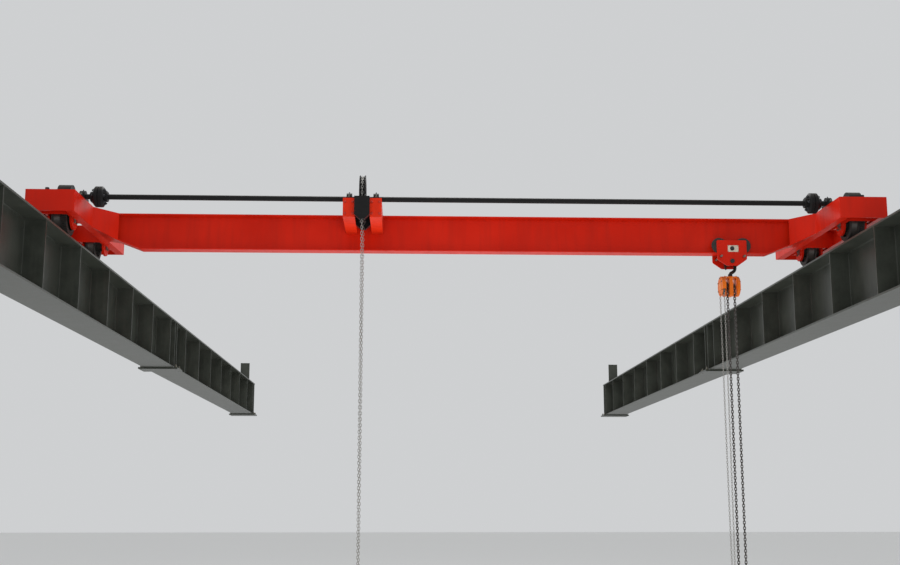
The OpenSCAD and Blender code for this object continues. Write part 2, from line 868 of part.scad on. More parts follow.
module shaft_couplings() {
    half = coupling_l / 2;
    disc = coupling_flange_w / 2;
    bore = shaft_d / 2;
    hub = bore + 21;
    profile = [
        [bore, -half], [hub - 3, -half], [hub, -half + 3], [hub, -disc], [coupling_r - 16, -disc],
        [coupling_r, -disc + 14], [coupling_r, -3], [coupling_r - 8, 0], [coupling_r, 3],
        [coupling_r, disc - 14], [coupling_r - 16, disc], [hub, disc], [hub, half - 3],
        [hub - 3, half], [bore, half]
    ];
    color(black)
        on_bridge()
            for (side = [-1, 1])
                translate([side * (carriage_in - coupling_in), shaft_y, shaft_z])
                    rotate([0, 90, 0])
                        rotate_extrude() polygon(profile);
}

// Pinion with a space between teeth straight below its shaft
module pinion(side) {
    bore = shaft_d / 2;
    color(rail_steel)
        on_bridge()
            on_carriage(side)
                translate([gear_at, shaft_y, shaft_z])
                    difference() {
                        union() {
                            slab_x(0, gear_face)
                                rotate(-90 + 180 / pinion_teeth) polygon(gear_outline(pinion_teeth));
                            bar_x(pinion_r - 14, -30, gear_face / 2);
                        }
                        bar_x(bore, -31, gear_face + 1);
                    }
}

module left_pinion() pinion(-1);
module right_pinion() pinion(1);

module chain_wheel() {
    w = chain_wheel_w / 2;
    bore = shaft_d / 2;
    hub = bore + 20;
    rim = chain_r - hand_chain_d / 2 - chain_gap;
    color(black)
        on_bridge()
            translate([-chain_wheel_at, shaft_y, shaft_z])
                rotate([0, 90, 0])
                    difference() {
                        rotate_extrude($fn = 96)
                            polygon([
                                [bore, -w], [hub, -w], [hub + 4, -8], [rim - 24, -8], [rim - 14, -w],
                                [chain_wheel_r, -w], [chain_wheel_r, -w + 5],
                                [chain_r, -hand_chain_d / 2 - chain_gap],
                                [rim, -hand_chain_d / 2 + 2], [rim, hand_chain_d / 2 - 2],
                                [chain_r, hand_chain_d / 2 + chain_gap],
                                [chain_wheel_r, w - 5], [chain_wheel_r, w], [rim - 14, w],
                                [rim - 24, 8], [hub + 4, 8], [hub, w], [bore, w]
                            ]);
                        for (k = [0 : 4])
                            rotate([0, 0, 72 * k + 36])
                                translate([(hub + rim) / 2 - 6, 0, -w])
                                    cylinder(r = (rim - hub) / 2 - 24, h = 2 * w);
                        for (k = [0 : chain_lugs - 1])
                            rotate([0, 0, 360 * k / chain_lugs])
                                translate([chain_wheel_r + 4, 0, -w - 1])
                                    cylinder(r = 14, h = 2 * w + 2);
                    }
}

// Wheels

// Profile of a double-flanged wheel, as radius and place along the axle
module wheel_profile(hub_out) {
    w = wheel_w / 2;
    t = tread_w / 2;
    r = tread_d / 2;
    f = r + wheel_flange_h;
    hub = axle_d / 2 + 25;
    bore = axle_d / 2 + running_gap;
    polygon([
        [bore, -fork_in + 5], [hub, -fork_in + 5], [hub, -12], [r - 25, -12], [r - 25, -w],
        [f - 4, -w], [f, -w + 4], [f - 2, -t - 3], [r, -t], [r, t], [f - 2, t + 3], [f, w - 4],
        [f - 4, w], [r - 25, w], [r - 25, 12], [hub, 12], [hub, hub_out], [bore, hub_out]
    ]);
}

module plain_wheel() {
    rotate([0, 90, 0])
        rotate_extrude($fn = 96) wheel_profile(fork_out - 5);
}

module idle_wheel(side) {
    color(black)
        on_bridge()
            on_carriage(side)
                translate([0, wheelbase / 2, wheel_z]) plain_wheel();
}

// Travel wheel with its gear beside it, a tooth straight above the axle
module drive_wheel(side) {
    color(black)
        on_bridge()
            on_carriage(side)
                translate([0, -wheelbase / 2, wheel_z])
                    union() {
                        plain_wheel();
                        slab_x(gear_at - eps, gear_face + eps)
                            rotate(90)
                                difference() {
                                    polygon(gear_outline(gear_teeth));
                                    circle(r = tread_d / 2 - 25);
                                }
                    }
}

module left_drive_wheel() drive_wheel(-1);
module right_drive_wheel() drive_wheel(1);
module left_idle_wheel() idle_wheel(-1);
module right_idle_wheel() idle_wheel(1);

// Trolley

module on_trolley() {
    on_bridge() translate([trolley_at, 0, 0]) children();
}

module trolley_outline() {
    half = trolley_w / 2;
    foot = trolley_foot_w / 2;
    difference() {
        polygon(rounded([
            [half, trolley_top, 12], [-half, trolley_top, 12], [-half, -trolley_shoulder, 25],
            [-foot, -trolley_foot, 30], [foot, -trolley_foot, 30], [half, -trolley_shoulder, 25]
        ]));
        translate([0, pin_z]) circle(d = pin_d);
        for (side = [-1, 1]) {
            translate([side * trolley_wheelbase / 2, trolley_z]) circle(d = trolley_axle_d);
            translate([side * tie_pitch / 2, -tie_drop]) circle(d = tie_d);
        }
    }
}

module trolley_front_plate() {
    color(crane_red) on_trolley() slab_y(-plate_in - trolley_t, trolley_t) trolley_outline();
}

module trolley_back_plate() {
    color(crane_red) on_trolley() slab_y(plate_in, trolley_t) trolley_outline();
}

// Suspension pin and the two bolts that hold the plates apart
module trolley_tie_bolts() {
    nut = plate_in + trolley_t;
    color(chain_steel)
        on_trolley() {
            translate([0, 0, pin_z]) bar_y(pin_d / 2, -nut - 8, nut + 8);
            for (side = [-1, 1])
                translate([side * tie_pitch / 2, 0, -tie_drop]) {
                    bar_y(tie_d / 2, -tie_l / 2, tie_l / 2);
                    for (y = [-nut - 7, 7 - plate_in, plate_in - 7, nut + 7])
                        translate([0, y, 0])
                            rotate([90, 0, 0])
                                cylinder(r = tie_d * 0.9, h = 14, center = true, $fn = 6);
                }
        }
}

module trolley_axles() {
    color(chain_steel)
        on_trolley()
            for (side = [-1, 1], end = [-1, 1])
                translate([side * trolley_wheelbase / 2, 0, trolley_z])
                    scale_end(end)
                        bar_y(trolley_axle_d / 2, trolley_wheel_in + 2, plate_in + trolley_t + 3);
}

module scale_end(end) {
    if (end < 0) mirror([0, 1, 0]) children();
    else children();
}

// Trolley wheel with a tapered tread that fits the slope of the girder's flange
module trolley_wheel(side, end) {
    bore = trolley_axle_d / 2 + running_gap;
    mean = trolley_tread_d / 2;
    lean = (trolley_wheel_out - trolley_contact) * flange_slope;
    lean_in = (trolley_contact - trolley_wheel_in) * flange_slope;
    out = trolley_wheel_out + trolley_flange_t;
    color(black)
        on_trolley()
            translate([side * trolley_wheelbase / 2, 0, trolley_z])
                scale_end(end)
                    rotate([-90, 0, 0])
                        rotate_extrude($fn = 72)
                            polygon([
                                [bore, trolley_wheel_in], [mean - lean_in - 2, trolley_wheel_in],
                                [mean - lean_in, trolley_wheel_in + 2], [mean + lean, trolley_wheel_out],
                                [trolley_flange_d / 2 - 3, trolley_wheel_out],
                                [trolley_flange_d / 2, trolley_wheel_out + 3],
                                [trolley_flange_d / 2, out - 2], [trolley_flange_d / 2 - 2, out],
                                [36, out], [32, out + 3], [bore, out + 3]
                            ]);
}

module trolley_wheel_front_left() trolley_wheel(-1, -1);
module trolley_wheel_front_right() trolley_wheel(1, -1);
module trolley_wheel_back_left() trolley_wheel(-1, 1);
module trolley_wheel_back_right() trolley_wheel(1, 1);

// Hoist

// Radius of a hook's bar at a step of its path: a blunt tip, a thick back and an even shank
function hook_radius(bar, i) =
    bar / 2 * (i < 6 ? 0.55 + 0.45 * sin(15 * i) : 1 + 0.12 * sin(180 * (i - 6) / 22));

// Path of a hook's bar from its tip round the bowl to its shank, with the bowl at the origin,
// straight sides below it and the shank at the bottom
function hook_path(bowl, bar, reach, tip, sides) =
    let (bend = 20, neck = -48, r = bowl + bar / 2)
    concat(
        [for (i = [0 : bend])
            let (t = tip + (neck - tip) * i / bend, rim = bowl + hook_radius(bar, i))
            [rim * cos(t), rim * sin(t) - (sin(t) < 0 ? sides : 0)]],
        [for (i = [1 : 8])
            let (
                t = i / 8,
                rim = bowl + hook_radius(bar, bend),
                p0 = [rim * cos(neck), rim * sin(neck) - sides],
                p1 = p0 + [sin(neck), -cos(neck)] * r * 0.45,
                p3 = [0, -reach],
                p2 = p3 + [0, r * 0.45]
            )
            pow(1 - t, 3) * p0 + 3 * t * pow(1 - t, 2) * p1 + 3 * t * t * (1 - t) * p2 + pow(t, 3) * p3]
    );

module hook(bowl, bar, reach, tip, sides = 0) {
    path = hook_path(bowl, bar, reach, tip, sides);
    rotate([90, 0, 0])
        swept_bar(path, [for (i = [0 : len(path) - 1]) hook_radius(bar, i)], sides = 12);
}

hook_z = pin_z - (hook_bowl_r - pin_d / 2 - seat_gap);
shank_top = -(hook_bowl_r + hook_bar_d) - hook_side - 6;
block_z = hoist_axis_z - load_drop;
block_half = fall_gap / 2 + load_chain_d / 2 + 10;
load_hook_bar = 28;

module hoist_top_hook() {
    color(black)
        on_trolley()
            translate([0, 0, hook_z]) {
                hook(hook_bowl_r, hook_bar_d, -shank_top, 206, hook_side);
                translate([0, 0, hoist_top - hook_z])
                    cylinder(d = hook_bar_d, h = shank_top - hoist_top + hook_z + hook_bar_d / 4);
            }
}

// Places along the hoist's axis, from the hook's line
sheave_x = -fall_gap / 2;
anchor_x0 = fall_gap / 2;
frame_t = 6;
gap_half = load_chain_d / 2 + 3;
left_wall = sheave_x - gap_half - frame_t;
right_wall = anchor_x0 + gap_half;
hoist_box_y = [-26, 80];
hoist_shaft_r = 12;
cover_wall = 4;
hoist_chain_d = hand_chain_d * 0.8;
hoist_chain_r = hoist_r - cover_wall - hoist_chain_d / 2 - 6.5;

module frame_outline() {
    polygon(rounded([
        [hoist_box_y[1], hoist_top, 20], [hoist_box_y[0], hoist_top, 20],
        [hoist_box_y[0], hoist_top - hoist_h, 14], [hoist_box_y[1], hoist_top - hoist_h, 14]
    ]));
}

// Two side plates, a housing between the falls and the stays that tie them
module hoist_frame() {
    stay_r = 7;
    color(hoist_orange)
        on_trolley()
            difference() {
                union() {
                    slab_x(left_wall, frame_t) frame_outline();
                    slab_x(sheave_x + gap_half, fall_gap - 2 * gap_half) frame_outline();
                    slab_x(right_wall, frame_t) frame_outline();
                    for (p = [[hoist_box_y[0] + 14, hoist_top - 12], [hoist_box_y[1] - 14, hoist_top - 14],
                              [hoist_box_y[1] - 14, hoist_top - hoist_h + 14]])
                        translate([0, p[0], p[1]]) bar_x(stay_r, left_wall + eps, right_wall + eps);
                }
                translate([0, hoist_axis_y, hoist_axis_z])
                    bar_x(hoist_shaft_r, left_wall - 1, right_wall + frame_t + 1);
            }
}

// Load sheave and hand wheel on their shaft
module hoist_wheels() {
    hand_x = left_wall - hand_cover_w / 2;
    sheave_root = fall_gap / 2 - load_chain_d / 2 - chain_gap;
    sheave_rim = sheave_root + 5;
    hand_root = hoist_chain_r - hoist_chain_d / 2 - chain_gap;
    hand_rim = hand_root + 6;
    hand_half = hoist_chain_d / 2 + 2;
    core = hoist_shaft_r - 1;
    color(chain_steel)
        on_trolley()
            translate([0, hoist_axis_y, hoist_axis_z])
                union() {
                    bar_x(hoist_shaft_r, hand_x - hand_half, right_wall + frame_t);
                    translate([sheave_x, 0, 0])
                        rotate([0, 90, 0])
                            rotate_extrude()
                                polygon([
                                    [core, -gap_half + 1], [sheave_rim, -gap_half + 1], [sheave_root, -6],
                                    [sheave_root, 6], [sheave_rim, gap_half - 1], [core, gap_half - 1]
                                ]);
                    translate([hand_x, 0, 0])
                        rotate([0, 90, 0])
                            rotate_extrude()
                                polygon([
                                    [core, -hand_half], [30, -hand_half], [34, -6], [hand_root - 10, -6],
                                    [hand_root - 2, -hand_half], [hand_rim, -hand_half], [hand_root, -5],
                                    [hand_root, 5], [hand_rim, hand_half], [hand_root - 2, hand_half],
                                    [hand_root - 10, 6], [34, 6], [30, hand_half], [core, hand_half]
                                ]);
                }
}

// Disc with a bevelled outer edge
module cover_disc(w, bevel) {
    rotate_extrude($fn = 72)
        polygon([[0, 0], [hoist_r, 0], [hoist_r, w - bevel], [hoist_r - 0.3 * bevel, w - 0.3 * bevel],
                 [hoist_r - bevel, w], [0, w]]);
}

// Pressed cover, open below for the two strands of hand chain
module hand_wheel_cover() {
    x0 = left_wall - hand_cover_w + cover_wall;
    x1 = left_wall - cover_wall;
    color(hoist_orange)
        on_trolley()
            translate([0, hoist_axis_y, hoist_axis_z])
                difference() {
                    translate([left_wall, 0, 0]) rotate([0, -90, 0]) cover_disc(hand_cover_w, 5);
                    bar_x(hoist_r - cover_wall, x0, x1);
                    translate([x0, -hoist_r + cover_wall, -hoist_r - 1])
                        cube([x1 - x0, 2 * (hoist_r - cover_wall), hoist_r - 30]);
                    bar_x(hoist_shaft_r, x0, left_wall + 1);
                }
}

module gear_cover() {
    color(hoist_orange)
        on_trolley()
            translate([right_wall + frame_t, hoist_axis_y, hoist_axis_z])
                rotate([0, 90, 0]) cover_disc(gear_cover_w, 4);
}

// The half of a ring that lies on the side of +Y
module half_ring(ring_r, r) {
    reach = ring_r + 2 * r;
    intersection() {
        rotate_extrude() translate([ring_r, 0]) circle(r = r, $fn = 24);
        translate([-reach, 0, -reach]) cube([2 * reach, reach, 2 * reach]);
    }
}

// Load chain: over the sheave, down, round the lower block and up to its anchor
module load_chain() {
    r = load_chain_d / 2;
    half = fall_gap / 2;
    color(chain_steel)
        on_trolley()
            union() {
                translate([sheave_x, hoist_axis_y, hoist_axis_z]) {
                    rotate([90, 0, 90]) half_ring(half, r);
                    translate([0, half, -load_tail]) cylinder(r = r, h = load_tail);
                }
                translate([sheave_x, 0, block_z]) cylinder(r = r, h = load_drop);
                translate([anchor_x0, 0, block_z]) cylinder(r = r, h = load_drop + load_anchor);
                translate([0, 0, block_z]) rotate([-90, 0, 0]) half_ring(half, r);
            }
}

// Lower block with its two cheeks, sheave pin and hook
module load_hook() {
    t = 8;
    y0 = load_chain_d / 2 + 1;
    hook_top = -(load_hook_r + load_hook_bar) - 6;
    drop = block_half + 40;
    color(black)
        on_trolley()
            translate([0, 0, block_z]) {
                for (end = [-1, 1])
                    scale_end(end)
                        slab_y(y0, t)
                            union() {
                                circle(r = block_half);
                                translate([-34, -drop]) square([68, drop]);
                            }
                bar_y(fall_gap / 2 - load_chain_d / 2 - 0.5, -y0 - eps, y0 + eps);
                translate([-34, -y0 - eps, -drop]) cube([68, 2 * y0 + 2 * eps, 24]);
                translate([0, 0, -drop + eps])
                    mirror([0, 0, 1]) {
                        cylinder(d = load_hook_bar, h = 20);
                        translate([0, 0, 20 - hook_top])
                            hook(load_hook_r, load_hook_bar, -hook_top, 222);
                    }
            }
}

module hoist_hand_chain() {
    color(chain_steel)
        on_trolley()
            translate([left_wall - hand_cover_w / 2, hoist_axis_y, hoist_axis_z])
                hanging_chain(hoist_chain_r, hoist_chain_drop, hoist_chain_d);
}

left_beam_near();
left_beam_far();
right_beam_near();
right_beam_far();
left_rail();
right_rail();
bearing_plates();
end_stops();
girder();
haunches();
left_inner_channel();
left_outer_channel();
right_inner_channel();
right_outer_channel();
carriage_end_plates();
left_wheel_boxes();
right_wheel_boxes();
wheel_axles();
gear_guards();
shaft_bearings();
left_shaft_arm();
right_shaft_arm();
chain_guide();
travel_chain();
cross_shaft();
shaft_couplings();
left_pinion();
right_pinion();
chain_wheel();
left_drive_wheel();
right_drive_wheel();
left_idle_wheel();
right_idle_wheel();
trolley_front_plate();
trolley_back_plate();
trolley_tie_bolts();
trolley_axles();
trolley_wheel_front_left();
trolley_wheel_front_right();
trolley_wheel_back_left();
trolley_wheel_back_right();
hoist_top_hook();
hoist_frame();
hoist_wheels();
hand_wheel_cover();
gear_cover();
load_chain();
load_hook();
hoist_hand_chain();
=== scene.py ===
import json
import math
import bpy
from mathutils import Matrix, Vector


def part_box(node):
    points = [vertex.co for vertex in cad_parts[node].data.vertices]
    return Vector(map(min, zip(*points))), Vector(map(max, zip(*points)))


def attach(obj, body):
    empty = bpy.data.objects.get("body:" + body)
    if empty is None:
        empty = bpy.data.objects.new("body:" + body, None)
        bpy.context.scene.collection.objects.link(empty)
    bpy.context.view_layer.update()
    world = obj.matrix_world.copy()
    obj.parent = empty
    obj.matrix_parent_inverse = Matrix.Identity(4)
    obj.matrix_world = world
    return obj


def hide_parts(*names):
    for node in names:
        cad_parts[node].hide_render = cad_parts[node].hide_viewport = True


bl_info = {
    "name": "Overhead bridge crane",
    "version": (1, 0, 0),
    "blender": (4, 5, 0),
    "location": "3D View > Sidebar > Crane",
    "description": "Finishes, chains and fastenings of a hand-geared overhead bridge crane",
    "category": "Object",
}

from functools import partialmethod

import bpy
import numpy as np
from bpy.props import FloatProperty, FloatVectorProperty, IntProperty, PointerProperty

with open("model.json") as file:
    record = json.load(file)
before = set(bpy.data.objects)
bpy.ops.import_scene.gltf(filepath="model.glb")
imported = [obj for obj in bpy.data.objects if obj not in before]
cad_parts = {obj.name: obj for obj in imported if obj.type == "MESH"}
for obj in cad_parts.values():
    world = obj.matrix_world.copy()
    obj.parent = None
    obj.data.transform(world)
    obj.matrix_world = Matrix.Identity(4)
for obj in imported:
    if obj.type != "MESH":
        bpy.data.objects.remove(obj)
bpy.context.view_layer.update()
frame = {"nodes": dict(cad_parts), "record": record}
joints = {joint["name"]: joint for joint in frame["record"]["behaviour"]["joints"]}
slots = {part["node"]: part["material_slot"] for part in frame["record"]["subparts"]}


# Sizes and colours

def length(name, description, default):
    return FloatProperty(name=name, description=description, default=default, min=0.0,
                         subtype="DISTANCE", unit="LENGTH", precision=4)


def tint(name, description, default):
    return FloatVectorProperty(name=name, description=description, default=default, size=3,
                               subtype="COLOR", min=0.0, max=1.0)


class CraneColours(bpy.types.PropertyGroup):
    bridge: tint("Bridge paint", "Gloss paint of the bridge and trolley", (0.62, 0.014, 0.003))
    runway: tint("Runway paint", "Satin paint of the runway beams", (0.044, 0.049, 0.040))
    enamel: tint("Enamel", "Black enamel of shaft, couplings and guards", (0.009, 0.009, 0.010))
    hoist: tint("Hoist paint", "Paint of the chain hoist's body", (0.84, 0.18, 0.015))
    dust: tint("Dust", "Settled dust on upward faces", (0.30, 0.27, 0.23))
    rust: tint("Rust", "Rust in chips and on bare steel", (0.13, 0.045, 0.018))
    steel: tint("Steel", "Bare turned or worn steel", (0.34, 0.33, 0.31))
    zinc: tint("Zinc", "Zinc-plated chain and fasteners", (0.20, 0.19, 0.155))
    iron: tint("Cast iron", "Unpainted cast iron", (0.022, 0.021, 0.020))
    plate: tint("Bare plate", "Pale blank plate on the trolley", (0.70, 0.62, 0.50))


class CraneSizes(bpy.types.PropertyGroup):
    clip_pitch: length("Clip pitch", "Distance between two rail clips", 0.6)
    clip_l: length("Clip length", "Length of a rail clip along the rail", 0.056)
    weld_leg: length("Weld leg", "Leg of the welds of the beams", 0.007)
    small_leg: length("Small weld leg", "Leg of the welds of the bridge", 0.005)
    anchor_d: length("Anchor bolt", "Thread of the anchor bolts", 0.020)
    bolt_d: length("Bolt", "Thread of the bolts of bearings, guards and clips", 0.012)
    small_bolt_d: length("Small bolt", "Thread of screws on covers and sheets", 0.006)
    hand_pitch: length("Hand chain pitch", "Inside length of a link of hand chain", 0.025)
    hoist_pitch: length("Hoist hand chain pitch", "Inside length of a link of the hoist's hand chain", 0.021)
    load_pitch: length("Load chain pitch", "Inside length of a link of load chain", 0.024)
    load_chain_w: length("Load chain width", "Outside width of a link of load chain", 0.026)
    coupling_bolts: IntProperty(name="Coupling bolts", description="Bolts round a shaft coupling",
                                default=6, min=3, max=12)
    floor_z: FloatProperty(name="Floor", description="Height of the floor", default=-3.12,
                           subtype="DISTANCE", unit="LENGTH")
    lens: FloatProperty(name="Lens", description="Focal length of the camera in millimetres", default=48.2)


# Shapes: each is (points, [faces with four corners, faces with three corners])

def join(shapes):
    """Shapes as one: the faces of each count on from the points before it."""
    points, faces, start = [], {4: [], 3: []}, 0
    for p, some in shapes:
        points.append(p)
        for f in some:
            faces[f.shape[1]].append(f + start)
        start += len(p)
    return np.concatenate(points), [np.concatenate(f) for f in faces.values() if f]


def ring_faces(rows, sides, wrap_rows=False):
    """Faces of a grid of rows by sides whose sides close on themselves."""
    i = np.arange(rows if wrap_rows else rows - 1)[:, None]
    j = np.arange(sides)[None, :]
    k, m = (i + 1) % rows, (j + 1) % sides
    return np.stack([i * sides + j, i * sides + m, k * sides + m, k * sides + j], axis=2).reshape(-1, 4)


def fan(first, count, pole):
    """Triangles from a ring of points to one pole."""
    j = np.arange(count)
    return np.stack([first + j, first + (j + 1) % count, np.full(count, pole)], axis=1)


def tube(grid, wrap=False):
    """Closed surface over a grid of rings: the rings join in order, and without wrap
    the first and last are closed by fans to their middles."""
    rows, sides = grid.shape[:2]
    points = grid.reshape(-1, 3)
    faces = [ring_faces(rows, sides, wrap)]
    if not wrap:
        n = len(points)
        points = np.concatenate([points, grid[[0, -1]].mean(axis=1)])
        below, above = fan(0, sides, n), fan((rows - 1) * sides, sides, n + 1)
        faces.append(np.concatenate([below[:, [1, 0, 2]], above]))
    return points, faces


def lathe(profile, sides, start=0.0):
    """Turned shape about Z: (r cos a, r sin a, h) for each (r, h) of the profile, from below."""
    r, h = np.array(profile, dtype=float).T
    a = start + 2 * math.pi * np.arange(sides) / sides
    return tube(np.stack([np.outer(r, np.cos(a)), np.outer(r, np.sin(a)),
                          np.repeat(h[:, None], sides, axis=1)], axis=2))


def prism(outline, low, high, bevel=0.0):
    """Convex outline carried from low to high, drawn in by the bevel at both ends."""
    flat = np.array(outline, dtype=float)
    middle = flat.mean(axis=0)
    reach = np.linalg.norm(flat - middle, axis=1, keepdims=True)
    small = middle + (flat - middle) * (1 - bevel * 1.4 / reach)
    rings = [(small, low), (flat, low + bevel), (flat, high - bevel), (small, high)] if bevel else \
        [(flat, low), (flat, high)]
    return tube(np.stack([np.column_stack([f, np.full(len(f), z)]) for f, z in rings]))


def plate(x, y, z, bevel=0.001):
    """Flat plate of x by y, standing on Z = 0 and z thick."""
    return prism([(-x / 2, -y / 2), (x / 2, -y / 2), (x / 2, y / 2), (-x / 2, y / 2)], 0.0, z, bevel)


def place(at, up=(0, 0, 1), along=(1, 0, 0)):
    """Frames at points: Z along up, X along what of along is square to it, Y their cross product."""
    at = np.atleast_2d(np.asarray(at, dtype=float))
    z = np.broadcast_to(np.asarray(up, dtype=float), at.shape)
    z = z / np.linalg.norm(z, axis=1, keepdims=True)
    x = np.broadcast_to(np.asarray(along, dtype=float), at.shape)
    x = x - (x * z).sum(axis=1, keepdims=True) * z
    x = x / np.linalg.norm(x, axis=1, keepdims=True)
    return np.stack([x, np.cross(z, x), z, at], axis=2)


def copies(shape, frames):
    """The shape in each frame: p becomes R p + t, all frames at once."""
    points, faces = shape
    many, n = len(frames), len(points)
    out = np.einsum("kij,nj->kni", frames[:, :, :3], points) + frames[:, None, :, 3]
    shift = np.arange(many)[:, None, None] * n
    return out.reshape(-1, 3), [(f[None] + shift).reshape(-1, f.shape[1]) for f in faces]


def screw(d, grip=0.0):
    """Nut on its washer with the thread standing out of it, from the surface it bears on."""
    return join([
        lathe([(d, 0.0), (d * 1.05, d * 0.04), (d, d * 0.15)], 12),
        lathe([(d * 0.9, d * 0.15), (d * 0.93, d * 0.2), (d * 0.93, d * 0.75), (d * 0.8, d * 0.9)], 6),
        lathe([(d * 0.5, d * 0.8), (d * 0.5, d * (1.1 + grip)), (d * 0.4, d * (1.2 + grip))], 8),
    ])


def bolt_circle(x, y, z, r, count, turn=0.0):
    """Places of bolts round an axis along X: (x, y + r cos a, z + r sin a) for even angles a."""
    a = 2 * math.pi * (np.arange(count) + turn) / count
    return np.column_stack([np.full(count, x), y + r * np.cos(a), z + r * np.sin(a)])


def sideways(at, out):
    """Frames at points on a face that looks along X, towards the side of out."""
    return place(at, (out, 0, 0), (0, 0, 1))


def bead(start, end, a, b, leg, step=0.05):
    """Fillet weld along a line: its section runs from the corner out along one face, bulges over
    to the other face and comes back. a and b point away from the corner along the two faces."""
    start, end, a, b = (np.asarray(v, dtype=float) for v in (start, end, a, b))
    if np.dot(np.cross(a, b), end - start) < 0:
        a, b = b, a
    rows = max(2, int(np.linalg.norm(end - start) / step) + 1)
    t = np.linspace(0, 1, rows)[:, None, None]
    u = np.array([-0.1, 1.0, 0.80, 0.46, 0.0])[None, :, None]
    v = np.array([-0.1, 0.0, 0.46, 0.80, 1.0])[None, :, None]
    return tube(start + t * (end - start) + leg * (u * a + v * b))


def seam(start, end, across, out, width):
    """Flat weld over a flush joint: the same low arch to both sides of the line."""
    across, low = np.array(across), np.array(out) * 0.35
    return join([bead(start, end, across * side, low, width) for side in (1, -1)])


def box_of(node):
    lo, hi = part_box(node)
    return np.array(lo), np.array(hi)


def middle_of(node):
    return sum(box_of(node)) / 2


def mesh_points(node):
    mesh = frame["nodes"][node].data
    points = np.empty(len(mesh.vertices) * 3)
    mesh.vertices.foreach_get("co", points)
    return points.reshape(-1, 3)


def solids(node):
    """Boxes of a node's separate solids: points at one place share a number, and the least
    number passes along every triangle until none changes."""
    mesh, points = frame["nodes"][node].data, mesh_points(node)
    corners = np.empty(len(mesh.loops), dtype=np.int64)
    mesh.loops.foreach_get("vertex_index", corners)
    _, same = np.unique(np.round(points, 6), axis=0, return_inverse=True)
    triangles = same.reshape(-1)[corners].reshape(-1, 3)
    label = np.arange(same.max() + 1)
    while True:
        least = np.repeat(label[triangles].min(axis=1), 3)
        after = label.copy()
        np.minimum.at(after, triangles.ravel(), least)
        after = after[after]
        if (after == label).all():
            break
        label = after
    label = label[same.reshape(-1)]
    return [(points[label == k].min(axis=0), points[label == k].max(axis=0)) for k in np.unique(label)]


def material(name):
    found = bpy.data.materials.get(name)
    if found is None:
        raise RuntimeError(f"The finish {name} is missing: run the finishes first")
    return found


def add(name, data):
    """A new object of the scene."""
    made = bpy.data.objects.new(name, data)
    bpy.context.scene.collection.objects.link(made)
    return made


def make_piece(name, shapes, body, finish, nodes=(), smooth=35, values=None):
    """One object at the origin from shapes in the row frame, riding on a body. Edges sharper than
    smooth degrees stay sharp; values are numbers per point, by name."""
    points, faces = join(shapes)
    mesh = bpy.data.meshes.new(name)
    mesh.vertices.add(len(points))
    mesh.vertices.foreach_set("co", points.astype(np.float32).ravel())
    corners = np.concatenate([f.ravel() for f in faces])
    sizes = np.concatenate([np.full(len(f), f.shape[1]) for f in faces])
    mesh.loops.add(len(corners))
    mesh.loops.foreach_set("vertex_index", corners.astype(np.int32))
    mesh.polygons.add(len(sizes))
    mesh.polygons.foreach_set("loop_start", (np.cumsum(sizes) - sizes).astype(np.int32))
    mesh.polygons.foreach_set("use_smooth", np.full(len(sizes), True))
    mesh.update(calc_edges=True)
    for key, value in (values or {}).items():
        mesh.attributes.new(key, "FLOAT", "POINT").data.foreach_set("value", value.astype(np.float32))
    mesh.validate()
    mesh.set_sharp_from_angle(angle=math.radians(smooth))
    mesh.materials.append(material(finish))
    piece = add(name, mesh)
    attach(piece, body)
    if nodes:
        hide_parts(*nodes)
    return piece


# Finishes

class Wire:
    """An output of a material's node, so that a sum of outputs is written as a sum."""

    def __init__(self, finish, socket):
        self.finish = finish
        self.socket = socket

    def math(self, operation, *values):
        return self.finish.make("Math", {"operation": operation}, dict(enumerate((self, *values))))

    def __rsub__(self, other):
        return self.finish.make("Math", {"operation": "SUBTRACT"}, {0: other, 1: self})

    __add__ = __radd__ = partialmethod(math, "ADD")
    __sub__ = partialmethod(math, "SUBTRACT")
    __mul__ = __rmul__ = partialmethod(math, "MULTIPLY")
    __gt__ = partialmethod(math, "GREATER_THAN")
    __lt__ = partialmethod(math, "LESS_THAN")

    def between(self, low, high, to_low=0.0, to_high=1.0):
        """From to_low below low to to_high above high, straight between them."""
        return self.finish.make("MapRange", {"clamp": True},
                                {"Value": self, "From Min": low, "From Max": high,
                                 "To Min": to_low, "To Max": to_high})


